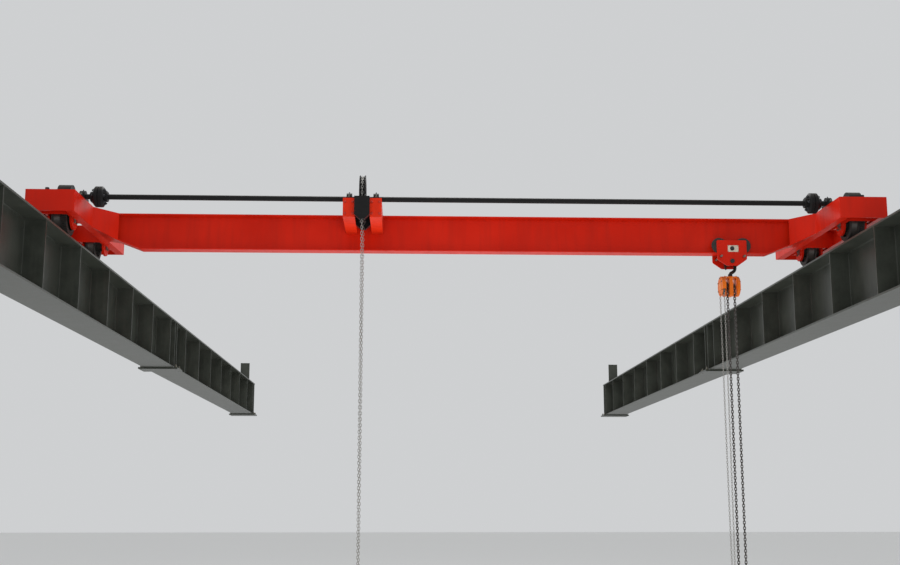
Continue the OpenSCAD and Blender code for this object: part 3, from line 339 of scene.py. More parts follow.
class Finish:
    """A material whose nodes are added one by one."""

    def __init__(self, name):
        self.material = bpy.data.materials.new(name)
        self.material.use_nodes = True
        self.tree = self.material.node_tree
        self.shader = self.tree.nodes["Principled BSDF"]
        self.place = self.make("TexCoord", {}, {}, "Object")
        normal = self.make("TexCoord", {}, {}, "Normal")
        self.up = self.make("SeparateXYZ", {}, {0: normal}, "Z")

    def make(self, kind, settings, inputs, out=0):
        """Adds a node, sets it up, fills its sockets with values or links and gives one output."""
        node = self.tree.nodes.new("ShaderNode" + kind)
        for key, value in settings.items():
            setattr(node, key, value)
        for key, value in inputs.items():
            self.put(node.inputs[key], value)
        return Wire(self, node.outputs[out])

    def put(self, socket, value):
        if isinstance(value, Wire):
            self.tree.links.new(value.socket, socket)
        elif hasattr(socket.default_value, "__len__") and len(value) < len(socket.default_value):
            socket.default_value = (*value, 1.0)
        else:
            socket.default_value = value

    def set(self, **sockets):
        """Sets or links the shader's own sockets, named in words joined by underscores."""
        for name, value in sockets.items():
            self.put(self.shader.inputs[name.replace("_", " ")], value)

    def noise(self, scale, detail=3.0, roughness=0.5, stretch=(1, 1, 1)):
        """Soft noise over the piece: scale is in waves per metre, stretch squeezes its axes."""
        place = self.place
        if stretch != (1, 1, 1):
            place = self.make("Mapping", {}, {0: place, 3: stretch})
        return self.make("TexNoise", {},
                         {"Vector": place, "Scale": scale, "Detail": detail, "Roughness": roughness})

    def mix(self, factor, a, b):
        return self.make("Mix", {"data_type": "RGBA"}, {0: factor, 6: a, 7: b}, 2)

    def axis(self, name):
        return self.make("SeparateXYZ", {}, {0: self.place}, name)

    def radius(self, centre, axis):
        """Distance from a line through centre along X or Y."""
        keep = (0, 1, 1) if axis == "X" else (1, 0, 1)
        flat = self.place
        for operation, value in (("SUBTRACT", tuple(centre)), ("MULTIPLY", keep)):
            flat = self.make("VectorMath", {"operation": operation}, {0: flat, 1: value})
        return self.make("VectorMath", {"operation": "LENGTH"}, {0: flat}, "Value")

    def bump(self, height, distance, strength=1.0, over=None):
        inputs = {"Height": height, "Distance": distance, "Strength": strength}
        if over is not None:
            inputs["Normal"] = over
        return self.make("Bump", {}, inputs)

    def dusty(self, colour, colours, amount):
        """Colour with dust where the surface looks up, thicker in soft patches."""
        patches = self.noise(9, 5, 0.6).between(0.35, 0.75)
        settled = self.up.between(0.35, 0.95) * (0.35 + patches * 0.65) * amount
        return self.mix(settled, colour, colours.dust), settled


def mixed(a, b, t):
    return tuple(x + (y - x) * t for x, y in zip(a, b))


def darker(colour, t):
    return mixed(colour, (0, 0, 0), t)


def gloss_paint(name, colour, colours, dust=0.45, rough=0.36, ripples=False):
    """Sprayed gloss paint: broad shade drift, faint runs, orange peel, grime and small chips."""
    f = Finish(name)
    drift = f.noise(2.3, 2).between(0.3, 0.7)
    runs = f.noise(14, 4, 0.55, (1, 1, 0.12)).between(0.45, 0.8)
    base = f.mix(drift, darker(colour, 0.14), mixed(colour, (1, 0.2, 0.1), 0.015))
    base = f.mix(runs * 0.35, base, mixed(colour, (0.02, 0.015, 0.012), 0.55))
    specks = f.noise(55, 6, 0.7)
    chips = (specks > 0.735) * (f.noise(3.1, 2) > 0.52)
    base = f.mix(chips * 0.8, base, mixed(colours.rust, (0.02, 0.02, 0.02), 0.5))
    base, settled = f.dusty(base, colours, dust)
    peel = f.bump(f.noise(260, 2), 0.0006, 0.25)
    skin = f.bump(f.noise(7, 3), 0.004, 0.12, peel)
    if ripples:
        along = f.axis("X") + f.axis("Y") + f.axis("Z")
        skin = f.bump((along * 620).math("SINE"), 0.0012, 0.6, skin)
    f.set(Base_Color=base, Roughness=rough + runs * 0.12 + settled * 0.4 + drift * 0.04, Normal=skin,
          Coat_Weight=0.2, Coat_Roughness=0.22, Coat_IOR=1.25, Specular_IOR_Level=0.10)
    return f.material


def satin_paint(name, colour, colours):
    """Brushed satin paint of heavy steelwork: mottled, streaked by water, dusty and chipped."""
    f = Finish(name)
    mottle = f.noise(5, 6, 0.65)
    streaks = f.noise(22, 5, 0.6, (1, 1, 0.06)).between(0.5, 0.85)
    base = f.mix(mottle.between(0.3, 0.7), darker(colour, 0.3), mixed(colour, (0.3, 0.3, 0.27), 0.04))
    base = f.mix(streaks * 0.3, base, mixed(colour, colours.dust, 0.2))
    chips = (f.noise(70, 5, 0.7) > 0.73) * (f.noise(2.2, 2) > 0.5)
    base = f.mix(chips * 0.85, base, colours.rust)
    base, settled = f.dusty(base, colours, 0.7)
    skin = f.bump(f.noise(180, 3), 0.0008, 0.3, f.bump(mottle, 0.003, 0.15))
    f.set(Base_Color=base, Roughness=0.28 + mottle * 0.12 + settled * 0.4, Normal=skin,
          Specular_IOR_Level=0.25)
    return f.material


def rail_finish(name, colours, top):
    """Rolled rail: rusty brown sides with mill scale, a bright worn strip on the head."""
    f = Finish(name)
    scale = f.noise(34, 6, 0.65)
    side = f.mix(scale.between(0.35, 0.65), mixed(colours.rust, (0.05, 0.045, 0.04), 0.5),
                 mixed(colours.rust, (0.16, 0.13, 0.11), 0.6))
    worn = f.axis("Z").between(top - 0.004, top - 0.001)
    worn = worn * f.noise(6, 4, 0.6, (1, 0.2, 1)).between(0.25, 0.6, 0.55)
    streak = f.noise(420, 2, 0.5, (1, 0.03, 1))
    bright = f.mix(streak, darker(colours.steel, 0.45), colours.steel)
    skin = f.bump(scale, 0.0012, 0.4, f.bump(streak, 0.0002, 0.3))
    f.set(Base_Color=f.mix(worn, side, bright), Metallic=0.25 + worn * 0.7,
          Roughness=0.62 - worn * 0.32 + streak * 0.08, Normal=skin)
    return f.material


def cast_iron(name, colours, centre, axis, tread, rim_r):
    """Black cast iron, sandy, with a bright running tread: within tread of the wheel's middle and
    from just under rim_r outwards."""
    f = Finish(name)
    sand = f.noise(150, 4, 0.6)
    broad = f.noise(12, 3)
    base = f.mix(broad, darker(colours.iron, 0.3), mixed(colours.iron, colours.dust, 0.08))
    r = f.radius(centre, axis)
    along = f.axis(axis) - float(centre["XY".index(axis)])
    band = (along.math("ABSOLUTE") < tread) * r.between(rim_r - 0.006, rim_r - 0.001)
    lines = (along * 5200).math("SINE").between(-1, 1)
    worn = band * (0.7 + lines * 0.3)
    base = f.mix(worn, base, mixed(colours.steel, colours.iron, 0.6))
    grease = f.noise(30, 4).between(0.5, 0.7) * r.between(rim_r * 0.35, rim_r * 0.6, 1.0, 0.0)
    base = f.mix(grease * 0.7, base, (0.008, 0.007, 0.006))
    f.set(Base_Color=base, Metallic=0.1 + worn * 0.8, Roughness=0.6 - worn * 0.3 - grease * 0.3,
          Normal=f.bump(sand, 0.0008, 0.45))
    return f.material


def turned_steel(name, colour, colours):
    """Bar turned along X: fine lines round it, a film of oil and light rust in patches."""
    f = Finish(name)
    lines = f.noise(900, 2, 0.5, (1, 0.04, 0.04))
    film = f.noise(18, 4).between(0.4, 0.75)
    spots = f.noise(60, 6, 0.7).between(0.6, 0.75) * 0.3
    base = f.mix(film * 0.6, colour, mixed(colour, (0.03, 0.025, 0.02), 0.6))
    base = f.mix(spots, base, colours.rust)
    f.set(Base_Color=base, Metallic=0.9 - spots * 0.7, Roughness=0.34 + lines * 0.12 + spots * 0.3,
          Normal=f.bump(lines, 0.0002, 0.5))
    return f.material


def bolt_finish(name, colours, rods, pin):
    """Long tie bolts: bare rusting thread, their nuts daubed with the bridge's paint; an oily pin."""
    thread_r, pin_r = 0.0085, 0.03
    f = Finish(name)
    first, second = (f.radius((lo + hi) / 2, "Y") for lo, hi in rods)
    thread = first.math("MINIMUM", second) < thread_r
    dark = f.radius((pin[0] + pin[1]) / 2, "Y") < pin_r
    ridges = (f.axis("Y") * 3100).math("SINE")
    rust = f.noise(50, 5, 0.7).between(0.55, 0.7)
    bare = f.mix(rust, colours.zinc, mixed(colours.rust, colours.zinc, 0.3))
    base = f.mix(thread, mixed(colours.bridge, (0.03, 0.01, 0.006), 0.55), bare)
    base = f.mix(dark, base, (0.030, 0.016, 0.012))
    f.set(Base_Color=base, Metallic=thread * 0.6, Roughness=0.5 - thread * 0.1,
          Normal=f.bump(ridges * thread, 0.0006, 0.6))
    return f.material


def enamel(name, colour, colours):
    """Thick black enamel with brush marks, oily patches and dust on top."""
    f = Finish(name)
    brush = f.noise(120, 4, 0.6, (0.15, 1, 1))
    # Oily patches, which only make the enamel shinier
    oil_and_shade = f.noise(11, 4, 0.6).between(0.45, 0.7)
    base = f.mix(brush, darker(colour, 0.3), mixed(colour, colours.dust, 0.03))
    base, settled = f.dusty(base, colours, 0.2)
    f.set(Base_Color=base, Roughness=0.42 - oil_and_shade * 0.16 + settled * 0.35,
          Normal=f.bump(brush, 0.0005, 0.35), Specular_IOR_Level=0.12)
    return f.material


def forged_steel(name, colour, colours):
    """Forged hook: blue-black scale, hammered skin, brown where oil has dried."""
    f = Finish(name)
    scale = f.noise(75, 6, 0.7)
    hammer = f.make("TexVoronoi", {}, {"Vector": f.place, "Scale": 55.0})
    stain = f.noise(14, 4).between(0.45, 0.75)
    base = f.mix(stain, colour, mixed(colours.rust, colour, 0.5))
    base = f.mix(scale.between(0.55, 0.7) * 0.5, base, mixed(colours.steel, colour, 0.6))
    f.set(Base_Color=base, Metallic=0.55 + scale * 0.2, Roughness=0.42 + scale * 0.2,
          Normal=f.bump(hammer, 0.0015, 0.35, f.bump(scale, 0.0006, 0.3)))
    return f.material


def chain_finish(name, colour, colours, grime):
    """Chain links: dulled plating, a darker tone from link to link, bright where links rub, black
    with grease and with painted shade where the chain lies on a wheel."""
    f = Finish(name)
    wear, tone, oil_and_shade = (f.make("Attribute", {"attribute_name": key}, {}, "Fac")
                       for key in ("wear", "tone", "oil_and_shade"))
    dull = f.noise(160, 4, 0.6)
    base = f.mix(tone, darker(colour, 0.35), colour)
    base = f.mix(dull.between(0.4, 0.7) * grime, base, mixed(colours.rust, (0.02, 0.018, 0.015), 0.5))
    base = f.mix(wear * 0.6, base, colours.steel)
    # Near black where grease and painted shade darken the links, on the wheel most of all
    base = f.mix(oil_and_shade * 0.9, base, (0.010, 0.009, 0.008))
    f.set(Base_Color=base, Metallic=(0.75 + wear * 0.2) * (1.0 - oil_and_shade * 0.8),
          Roughness=0.46 - wear * 0.18 + dull * 0.1, Normal=f.bump(dull, 0.0003, 0.35))
    return f.material


def zinc_fastener(name, colours):
    """Zinc-plated nuts: grey with yellow and white bloom and a little rust."""
    f = Finish(name)
    bloom = f.noise(90, 4, 0.6)
    base = f.mix(bloom.between(0.35, 0.65), darker(colours.zinc, 0.35), colours.zinc)
    base = f.mix(f.noise(45, 5, 0.7).between(0.62, 0.72) * 0.8, base, colours.rust)
    f.set(Base_Color=base, Metallic=0.8 - bloom * 0.2, Roughness=0.4 + bloom * 0.2,
          Normal=f.bump(bloom, 0.0002, 0.3))
    return f.material


def pale_plate(name, colours):
    """Blank anodised plate: pale, brushed along its length, smudged in patches."""
    f = Finish(name)
    lines = f.noise(700, 2, 0.5, (0.03, 1, 1))
    smudge = f.noise(40, 4).between(0.45, 0.75)
    base = f.mix(lines * 0.3, colours.plate, darker(colours.plate, 0.25))
    base = f.mix(smudge * 0.5, base, mixed(colours.plate, (0.1, 0.05, 0.03), 0.5))
    f.set(Base_Color=base, Metallic=0.1, Roughness=0.42 + lines * 0.15,
          Normal=f.bump(lines, 0.0001, 0.4))
    return f.material


class CRANE_OT_finishes(bpy.types.Operator):
    """Makes every finish and paints the CAD nodes with it"""
    bl_idname = "crane.finishes"
    bl_label = "Finishes"

    def execute(self, context):
        c = context.scene.crane_colours
        made = {
            "graphite_paint": satin_paint("graphite_paint", c.runway, c),
            "rail_steel": rail_finish("rail_steel", c, box_of("left_rail")[1][2]),
            "crane_paint": gloss_paint("crane_paint", c.bridge, c),
            # The shaft arms take a lighter copy of the bridge's paint
            "arm_paint": gloss_paint("arm_paint", mixed(c.bridge, (1, 0.05, 0.01), 0.4), c, 0.3),
            "black_paint": enamel("black_paint", c.enamel, c),
            "bare_steel": turned_steel("bare_steel", c.steel, c),
            "hoist_paint": gloss_paint("hoist_paint", c.hoist, c, 0.35, 0.38),
            "forged_black": forged_steel("forged_black", mixed(c.enamel, c.iron, 0.5), c),
        }
        gloss_paint("crane_weld", c.bridge, c, 0.3, 0.34, True)
        satin_paint("graphite_weld", c.runway, c)
        satin_paint("rail_clip_iron", mixed(c.iron, c.rust, 0.35), c)
        chain_finish("zinc_chain", mixed(c.zinc, c.iron, 0.6), c, 0.55)
        chain_finish("load_chain_steel", mixed(c.steel, (0.02, 0.018, 0.016), 0.8), c, 0.7)
        zinc_fastener("zinc_fastener", c)
        pale_plate("pale_plate", c)
        for node, slot in slots.items():
            if slot in made:
                self.paint(node, made[slot])
        for node in ("left_shaft_arm", "right_shaft_arm"):
            self.paint(node, made["arm_paint"])
        self.wheels(c)
        ties = sorted(solids("trolley_tie_bolts"), key=lambda box: box[1][1] - box[0][1])
        self.paint("trolley_tie_bolts", bolt_finish("trolley_bolts", c, ties[-2:], ties[0]))
        return {"FINISHED"}

    def paint(self, node, finish):
        data = frame["nodes"][node].data
        data.materials.clear()
        data.materials.append(finish)

    def wheels(self, c):
        """Each wheel has its own tread, found from its joint and its box."""
        for name, joint in joints.items():
            if not name.endswith("_spin") or name == "shaft_spin":
                continue
            for node in frame["record"]["behaviour"]["bodies"][joint["child"]]:
                x, y, z = joint["pos_m"]
                if joint["axis"][0] > 0.5:
                    tread = (x, y, z), "X", 0.026, 0.125
                else:
                    tread = (x, middle_of(node)[1], z), "Y", 0.014, 0.056
                self.paint(node, cast_iron(node + "_iron", c, *tread))
        tread = middle_of("hoist_wheels"), "X", 0.2, 0.068
        self.paint("hoist_wheels", cast_iron("hoist_wheels_iron", c, *tread))


# Chains

def link(w, wire, pitch, turns=10, sides=5):
    """Oval link lying flat along X: a round wire whose middle runs along two half circles joined
    by straights. Its wear is greatest inside its two ends."""
    r = (w - wire) / 2
    half = (pitch + wire) / 2 - r
    a = np.linspace(-math.pi / 2, math.pi / 2, turns // 2)
    way = np.column_stack([np.cos(a), np.sin(a)])
    middle = np.concatenate([r * way + [half, 0], -r * way - [half, 0]])
    out = np.concatenate([way, -way])
    b = 2 * math.pi * np.arange(sides) / sides
    flat = middle[:, None, :] + out[:, None, :] * (wire / 2 * np.cos(b))[None, :, None]
    up = np.broadcast_to((wire / 2 * np.sin(b))[None, :, None], flat.shape[:2] + (1,))
    grid = np.concatenate([flat, up], axis=2)[:, ::-1]
    end = np.abs(out[:, 0])[:, None] ** 2
    wear = end * np.clip(-np.cos(b[::-1]), 0, 1)[None, :]
    return tube(grid, wrap=True), wear.ravel()


def chain(points, ways, sides_on, w, wire, pitch, oil_and_shade):
    """Links along a path, each second one turned a quarter: X along the way, Z across it."""
    shape, wear = link(w, wire, pitch)
    flat = np.arange(len(points)) % 2 == 0
    across = np.cross(ways, sides_on)
    up = np.where(flat[:, None], sides_on, across)
    out = copies(shape, place(points, up, ways))
    k = np.arange(len(points))
    tone = np.repeat(0.5 + 0.5 * np.sin(12.9898 * k + 4.1414 * (k % 7) ** 2), len(wear))
    # Per link: its wear, a random tone, and darkening by grease and painted shade
    return out, {"wear": np.tile(wear, len(points)), "tone": tone, "oil_and_shade": np.repeat(oil_and_shade, len(wear))}


def loop_path(r, drop, pitch):
    """Points and ways of a loop over a wheel: half a circle above, and below it the catenary
    x = a asinh(s / a), z = sqrt(a^2 + s^2) - a - drop, spaced evenly by its length."""
    a = r / 5
    for _ in range(30):
        a = r / math.acosh(1 + drop / a)
    s_end = a * math.sqrt((1 + drop / a) ** 2 - 1)
    total = math.pi * r + 2 * s_end
    count = 2 * round(total / pitch / 2)
    t = (np.arange(count) + 0.5) * total / count
    over = t < math.pi * r
    angle = t / r
    s = np.clip(t - math.pi * r, 0, None) - s_end
    root = np.sqrt(a * a + s * s)
    y = np.where(over, r * np.cos(angle), a * np.arcsinh(s / a))
    z = np.where(over, r * np.sin(angle), root - a - drop)
    wy = np.where(over, -np.sin(angle), a / root)
    wz = np.where(over, np.cos(angle), s / root)
    none = np.zeros(count)
    # Darkening of the links: full over the wheel, painted shade there as well as grease, fading out below it
    oil_and_shade = np.where(over, 1.0, 0.25 * np.exp(np.clip(z, None, 0) / 0.25))
    return np.column_stack([none, y, z]), np.column_stack([none, wy, wz]), total / count, oil_and_shade


class CRANE_OT_chains(bpy.types.Operator):
    """Links of the two hand chains and the load chain, in place of their plain bars"""
    bl_idname = "crane.chains"
    bl_label = "Chains"

    def execute(self, context):
        sizes = context.scene.crane_sizes
        self.hand_chain("travel_chain", "bridge", sizes.hand_pitch)
        self.hand_chain("hoist_hand_chain", "hoist", sizes.hoist_pitch)
        self.load_chain(sizes)
        return {"FINISHED"}

    def hand_chain(self, node, body, pitch):
        lo, hi = box_of(node)
        w = hi[0] - lo[0]
        r = (hi[1] - lo[1]) / 2 - w / 2
        centre = np.append((lo + hi)[:2] / 2, hi[2] - r - w / 2)
        points, ways, pitch, oil_and_shade = loop_path(r, centre[2] - lo[2] - w / 2, pitch)
        shape, values = chain(points + centre, ways, (1.0, 0, 0), w * 0.98, w * 0.27, pitch, oil_and_shade)
        make_piece(node + "_links", [shape], body, "zinc_chain", [node], 80, values)

    def load_chain(self, sizes):
        """Up from the tail, over the sheave, down, round the lower block and up to the anchor."""
        lo, hi = box_of("load_chain")
        w, wire = sizes.load_chain_w, sizes.load_chain_w * 0.31
        gap = hi[0] - lo[0] - w
        r, x0, x1 = gap / 2, lo[0] + w / 2, hi[0] - w / 2
        y0, y1 = lo[1] + w / 2, hi[1] - w / 2
        top, bottom = hi[2] - w / 2 - r, lo[2] + w / 2 + r
        tail, anchor = 0.060, 0.018
        runs = [tail, math.pi * r, top - bottom, math.pi * r, top + anchor - bottom]
        ends = np.concatenate([[0.0], np.cumsum(runs)])
        count = int(ends[-1] / sizes.load_pitch)
        t = (np.arange(count) + 0.5) * ends[-1] / count
        part = np.clip(np.searchsorted(ends, t, side="right") - 1, 0, 4)
        s = t - ends[part]
        a = s / r
        zero, one = np.zeros(count), np.ones(count)
        legs = np.array([  # place and way of a link on each run
            (x0 * one, y1 * one, top - tail + s, zero, zero, one),
            (x0 * one, (y0 + y1) / 2 + r * np.cos(a), top + r * np.sin(a), zero, -np.sin(a), np.cos(a)),
            (x0 * one, y0 * one, top - s, zero, zero, -one),
            ((x0 + x1) / 2 - r * np.cos(a), y0 * one, bottom - r * np.sin(a), np.sin(a), zero, -np.cos(a)),
            (x1 * one, y0 * one, bottom + s, zero, zero, one),
        ])
        k = np.arange(count)
        points, ways = legs[part, :3, k], legs[part, 3:, k]
        side = np.where((part == 3)[:, None], np.cross((0, 1.0, 0), ways), (1.0, 0, 0))
        # The load chain: one light darkening all along it for grease, with no painted shade
        oil_and_shade = np.full(count, 0.2)
        shape, values = chain(points, ways, side, w * 0.98, wire, ends[-1] / count, oil_and_shade)
        make_piece("load_chain_links", [shape], "hoist", "load_chain_steel",
                   ["load_chain"], 80, values)


# Runway

def clip_shape(l, d):
    """Forged clip: a sloping wedge over the rail's foot, with its nut. X points away from the rail."""
    wedge = [(-0.016, 0.0126), (0.038, 0.0), (0.038, 0.015), (0.028, 0.021), (-0.014, 0.018)]
    body, faces = prism(wedge, -l / 2, l / 2, 0.002)
    turned = np.column_stack([body[:, 0], -body[:, 2], body[:, 1]])
    nut = copies(screw(d, 0.5), place((0.012, 0, 0.0185)))
    return join([(turned, faces), nut])


class CRANE_OT_rail_clips(bpy.types.Operator):
    """Clips that hold both rails down, in pairs along each rail"""
    bl_idname = "crane.rail_clips"
    bl_label = "Rail clips"

    def execute(self, context):
        sizes = context.scene.crane_sizes
        shape = clip_shape(sizes.clip_l, sizes.bolt_d)
        for rail in ("left_rail", "right_rail"):
            lo, hi = box_of(rail)
            count = int((hi[1] - lo[1] - 0.5) / sizes.clip_pitch) + 1
            along = (lo[1] + hi[1]) / 2 + (np.arange(count) - (count - 1) / 2) * sizes.clip_pitch
            shapes = [copies(shape, place([(x, y, lo[2]) for y in along], (0, 0, 1), (out, 0, 0)))
                      for x, out in ((lo[0], -1), (hi[0], 1))]
            make_piece(rail + "_clips", shapes, "runway", "rail_clip_iron")
        return {"FINISHED"}


class CRANE_OT_runway_bolts(bpy.types.Operator):
    """Anchor nuts on the bearing plates and bolts on the feet of the end stops"""
    bl_idname = "crane.runway_bolts"
    bl_label = "Runway bolts"
    foot_t, foot_x, foot_y = 0.014, 0.048, (0.042, 0.078)

    def execute(self, context):
        sizes = context.scene.crane_sizes
        patterns = [m for m in frame["record"]["mounts"] if m["kind"] == "bolt_pattern"]
        thick = box_of("left_beam_near")[0][2]
        at = [(m["pos_m"][0] + i * m["dims"]["spacing_x_mm"] / 2000,
               m["pos_m"][1] + j * m["dims"]["spacing_y_mm"] / 2000, thick)
              for m in patterns for i in (-1, 1) for j in (-1, 1)]
        make_piece("anchor_nuts", [copies(screw(sizes.anchor_d, 0.6), place(at))], "runway",
                   "zinc_fastener")
        feet, middle = [], np.mean([box_of("left_rail"), box_of("right_rail")], axis=(0, 1))[1]
        for lo, hi in solids("end_stops"):
            x, y, _ = (lo + hi) / 2
            inner, out = (lo[1], 1) if y > middle else (hi[1], -1)
            feet += [(x + i * self.foot_x, inner + out * reach, lo[2] + self.foot_t)
                     for i in (-1, 1) for reach in self.foot_y]
        make_piece("stop_bolts", [copies(screw(sizes.bolt_d * 1.2, 0.4), place(feet))], "runway",
                   "zinc_fastener")
        return {"FINISHED"}


class CRANE_OT_runway_welds(bpy.types.Operator):
    """Welds of the runway beams: flanges to web, and stiffeners to web and flanges"""
    bl_idname = "crane.runway_welds"
    bl_label = "Runway welds"
    flange_t, web_t, stiffener_t, inset = 0.016, 0.010, 0.010, 0.004

    def execute(self, context):
        sizes = context.scene.crane_sizes
        for node in ("left_beam_near", "left_beam_far", "right_beam_near", "right_beam_far"):
            make_piece(node + "_welds", self.beam(node, sizes.weld_leg), "runway",
                       "graphite_weld", smooth=60)
        return {"FINISHED"}

    def stiffeners(self, node):
        """Places of the stiffeners along the beam, from where its mesh has corners of their width."""
        lo, hi = box_of(node)
        points, reach = mesh_points(node), (hi[0] - lo[0]) / 2 - self.inset
        edge = np.abs(np.abs(points[:, 0] - (lo[0] + hi[0]) / 2) - reach) < 0.0006
        y = np.unique(np.round(points[edge, 1], 4))
        return [(a + b) / 2 for a, b in zip(y[:-1], y[1:]) if b - a < self.stiffener_t * 1.5]

    def beam(self, node, leg):
        lo, hi = box_of(node)
        middle, thin = (lo[0] + hi[0]) / 2, leg * 0.8
        low, high = lo[2] + self.flange_t, hi[2] - self.flange_t
        flanges = (low, 1), (high, -1)
        places = self.stiffeners(node)
        out = []
        for side in (-1, 1):
            web = middle + side * self.web_t / 2
            edge = middle + side * ((hi[0] - lo[0]) / 2 - self.inset)
            for z, up in flanges:
                out.append(bead((web, lo[1], z), (web, hi[1], z), (side, 0, 0), (0, 0, up), leg, 0.2))
            for y, end in ((y, end) for y in places for end in (-1, 1)):
                face, way = y + end * self.stiffener_t / 2, (0, end, 0)
                out.append(bead((web, face, low), (web, face, high), (side, 0, 0), way, thin, 0.2))
                for z, up in flanges:
                    out.append(bead((web, face, z), (edge, face, z), way, (0, 0, up), thin, 0.1))
        return out


# Bridge

class CRANE_OT_bridge_welds(bpy.types.Operator):
    """Welds of the girder, haunches, carriages and shaft arms"""
    bl_idname = "crane.bridge_welds"
    bl_label = "Bridge welds"

    def execute(self, context):
        leg = context.scene.crane_sizes.small_leg
        short = 0.004
        shapes = []
        girder_lo, girder_hi = box_of("girder")
        middle = (girder_lo[1] + girder_hi[1]) / 2
        for side, out in (("left", -1), ("right", 1)):
            lo, hi = box_of(f"{side}_inner_channel")
            face = hi[0] if out < 0 else lo[0]
            for y, away in ((girder_lo[1], -1), (girder_hi[1], 1)):
                shapes.append(bead((face, y, hi[2] - 0.1), (face, y, hi[2] - 0.01),
                                   (-out, 0, 0), (0, away, 0), leg))
        for lo, hi in solids("haunches"):
            y = hi[1] if lo[1] < middle else lo[1]
            shapes.append(seam((lo[0] + short, y, hi[2]), (hi[0] - short, y, hi[2]),
                               (0, 1, 0), (0, 0, 1), leg))
        for node in ("left_shaft_arm", "right_shaft_arm"):
            lo, hi = box_of(node)
            for x, away in ((lo[0], -1), (hi[0], 1)):
                shapes.append(bead((x, girder_lo[1], hi[2] - 0.010), (x, girder_lo[1], lo[2] + 0.02),
                                   (away, 0, 0), (0, -1, 0), leg))
        for lo, hi in solids("carriage_end_plates"):
            y = hi[1] if lo[1] < middle else lo[1]
            for x, out in ((lo[0], -1), (hi[0], 1)):
                shapes.append(seam((x, y, lo[2] + short), (x, y, hi[2] - short),
                                   (0, 1, 0), (out, 0, 0), leg * 0.8))
        make_piece("bridge_welds", shapes, "bridge", "crane_weld", smooth=60)
        return {"FINISHED"}


class CRANE_OT_shaft_trim(bpy.types.Operator):
    """Bolts and lubricators of the pillow blocks, and the bolts of guards and couplings"""
    bl_idname = "crane.shaft_trim"
    bl_label = "Shaft trim"
    block_foot_t, block_bolt_y = 0.020, 0.077
    guard_foot_t, guard_inset_x, guard_inset_y = 0.006, 0.018, 0.015
    flange_x, flange_bolt_r = 0.043, 0.058

    def execute(self, context):
        sizes = context.scene.crane_sizes
        _, y, z = joints["shaft_spin"]["pos_m"]
        bolt = screw(sizes.bolt_d * 1.15, 0.5)
        shapes, tops = [], []
        for lo, hi in solids("shaft_bearings"):
            x = (lo[0] + hi[0]) / 2
            at = [(x, y + end * self.block_bolt_y, lo[2] + self.block_foot_t) for end in (-1, 1)]
            shapes.append(copies(bolt, place(at)))
            tops.append((x, y, hi[2] - 0.002))
        tops.sort()
        for lo, hi in solids("gear_guards"):
            at = [(x, bolt_y, lo[2] + self.guard_foot_t)
                  for x in (lo[0] + self.guard_inset_x, hi[0] - self.guard_inset_x)
                  for bolt_y in (lo[1] + self.guard_inset_y, hi[1] - self.guard_inset_y)]
            shapes.append(copies(screw(sizes.bolt_d * 0.85), place(at)))
        make_piece("bearing_bolts", shapes, "bridge", "zinc_fastener")
        cup = lathe([(0.008, 0.0), (0.008, 0.008), (0.017, 0.010), (0.018, 0.012), (0.018, 0.027),
                     (0.016, 0.030), (0.009, 0.031)], 16)
        nipple = lathe([(0.007, 0.0), (0.007, 0.005), (0.004, 0.007), (0.005, 0.011), (0.002, 0.014)], 8)
        shapes = [copies(cup, place([tops[0], tops[-1]])), copies(nipple, place(tops[1:-1]))]
        make_piece("lubricators", shapes, "bridge", "black_paint")
        turning = []
        for lo, hi in solids("shaft_couplings"):
            for face in (-1, 1):
                x = (lo[0] + hi[0]) / 2 + face * self.flange_x
                at = bolt_circle(x, y, z, self.flange_bolt_r, sizes.coupling_bolts)
                turning.append(copies(screw(sizes.bolt_d, 0.2), sideways(at, face)))
        make_piece("coupling_bolts", turning, "drive_shaft", "black_paint")
        return {"FINISHED"}


class CRANE_OT_wheel_trim(bpy.types.Operator):
    """Keeper plates and grease nipples at the ends of the axles of the travel wheels"""
    bl_idname = "crane.wheel_trim"
    bl_label = "Axle keepers"
    proud, keeper_t, keeper_drop, keeper_bolt_y = 0.012, 0.006, 0.034, 0.028

    def execute(self, context):
        sizes = context.scene.crane_sizes
        keeper = plate(0.030, 0.080, self.keeper_t)
        nut = screw(sizes.bolt_d * 0.8)
        nipple = lathe([(0.006, 0.0), (0.006, 0.004), (0.0035, 0.006), (0.0045, 0.009), (0.002, 0.012)], 8)
        keepers, nuts, nipples = [], [], []
        for lo, hi in solids("wheel_axles"):
            _, y, z = (lo + hi) / 2
            low = z - self.keeper_drop
            for x, out in ((lo[0] + self.proud, -1), (hi[0] - self.proud, 1)):
                keepers.append(copies(keeper, sideways((x, y, low), out)))
                at = [(x + out * self.keeper_t, y + end * self.keeper_bolt_y, low) for end in (-1, 1)]
                nuts.append(copies(nut, sideways(at, out)))
                nipples.append(copies(nipple, sideways((x + out * self.proud, y, z), out)))
        make_piece("axle_keepers", keepers, "bridge", "crane_paint")
        make_piece("axle_bolts", nuts + nipples, "bridge", "zinc_fastener")
        return {"FINISHED"}


class CRANE_OT_guide_trim(bpy.types.Operator):
    """Bolts of the arms that carry the shaft beside the chain wheel"""
    bl_idname = "crane.guide_trim"
    bl_label = "Arm bolts"

    def execute(self, context):
        sizes = context.scene.crane_sizes
        shapes = []
        for node in ("left_shaft_arm", "right_shaft_arm"):
            lo, hi = box_of(node)
            x = (lo[0] + hi[0]) / 2
            at = [(x + i * 0.032, lo[1], z) for i in (-1, 1) for z in (lo[2] + 0.03, hi[2] - 0.035)]
            shapes.append(copies(screw(sizes.bolt_d), place(at, (0, -1, 0))))
        make_piece("arm_bolts", shapes, "bridge", "crane_paint")
        return {"FINISHED"}


# Trolley

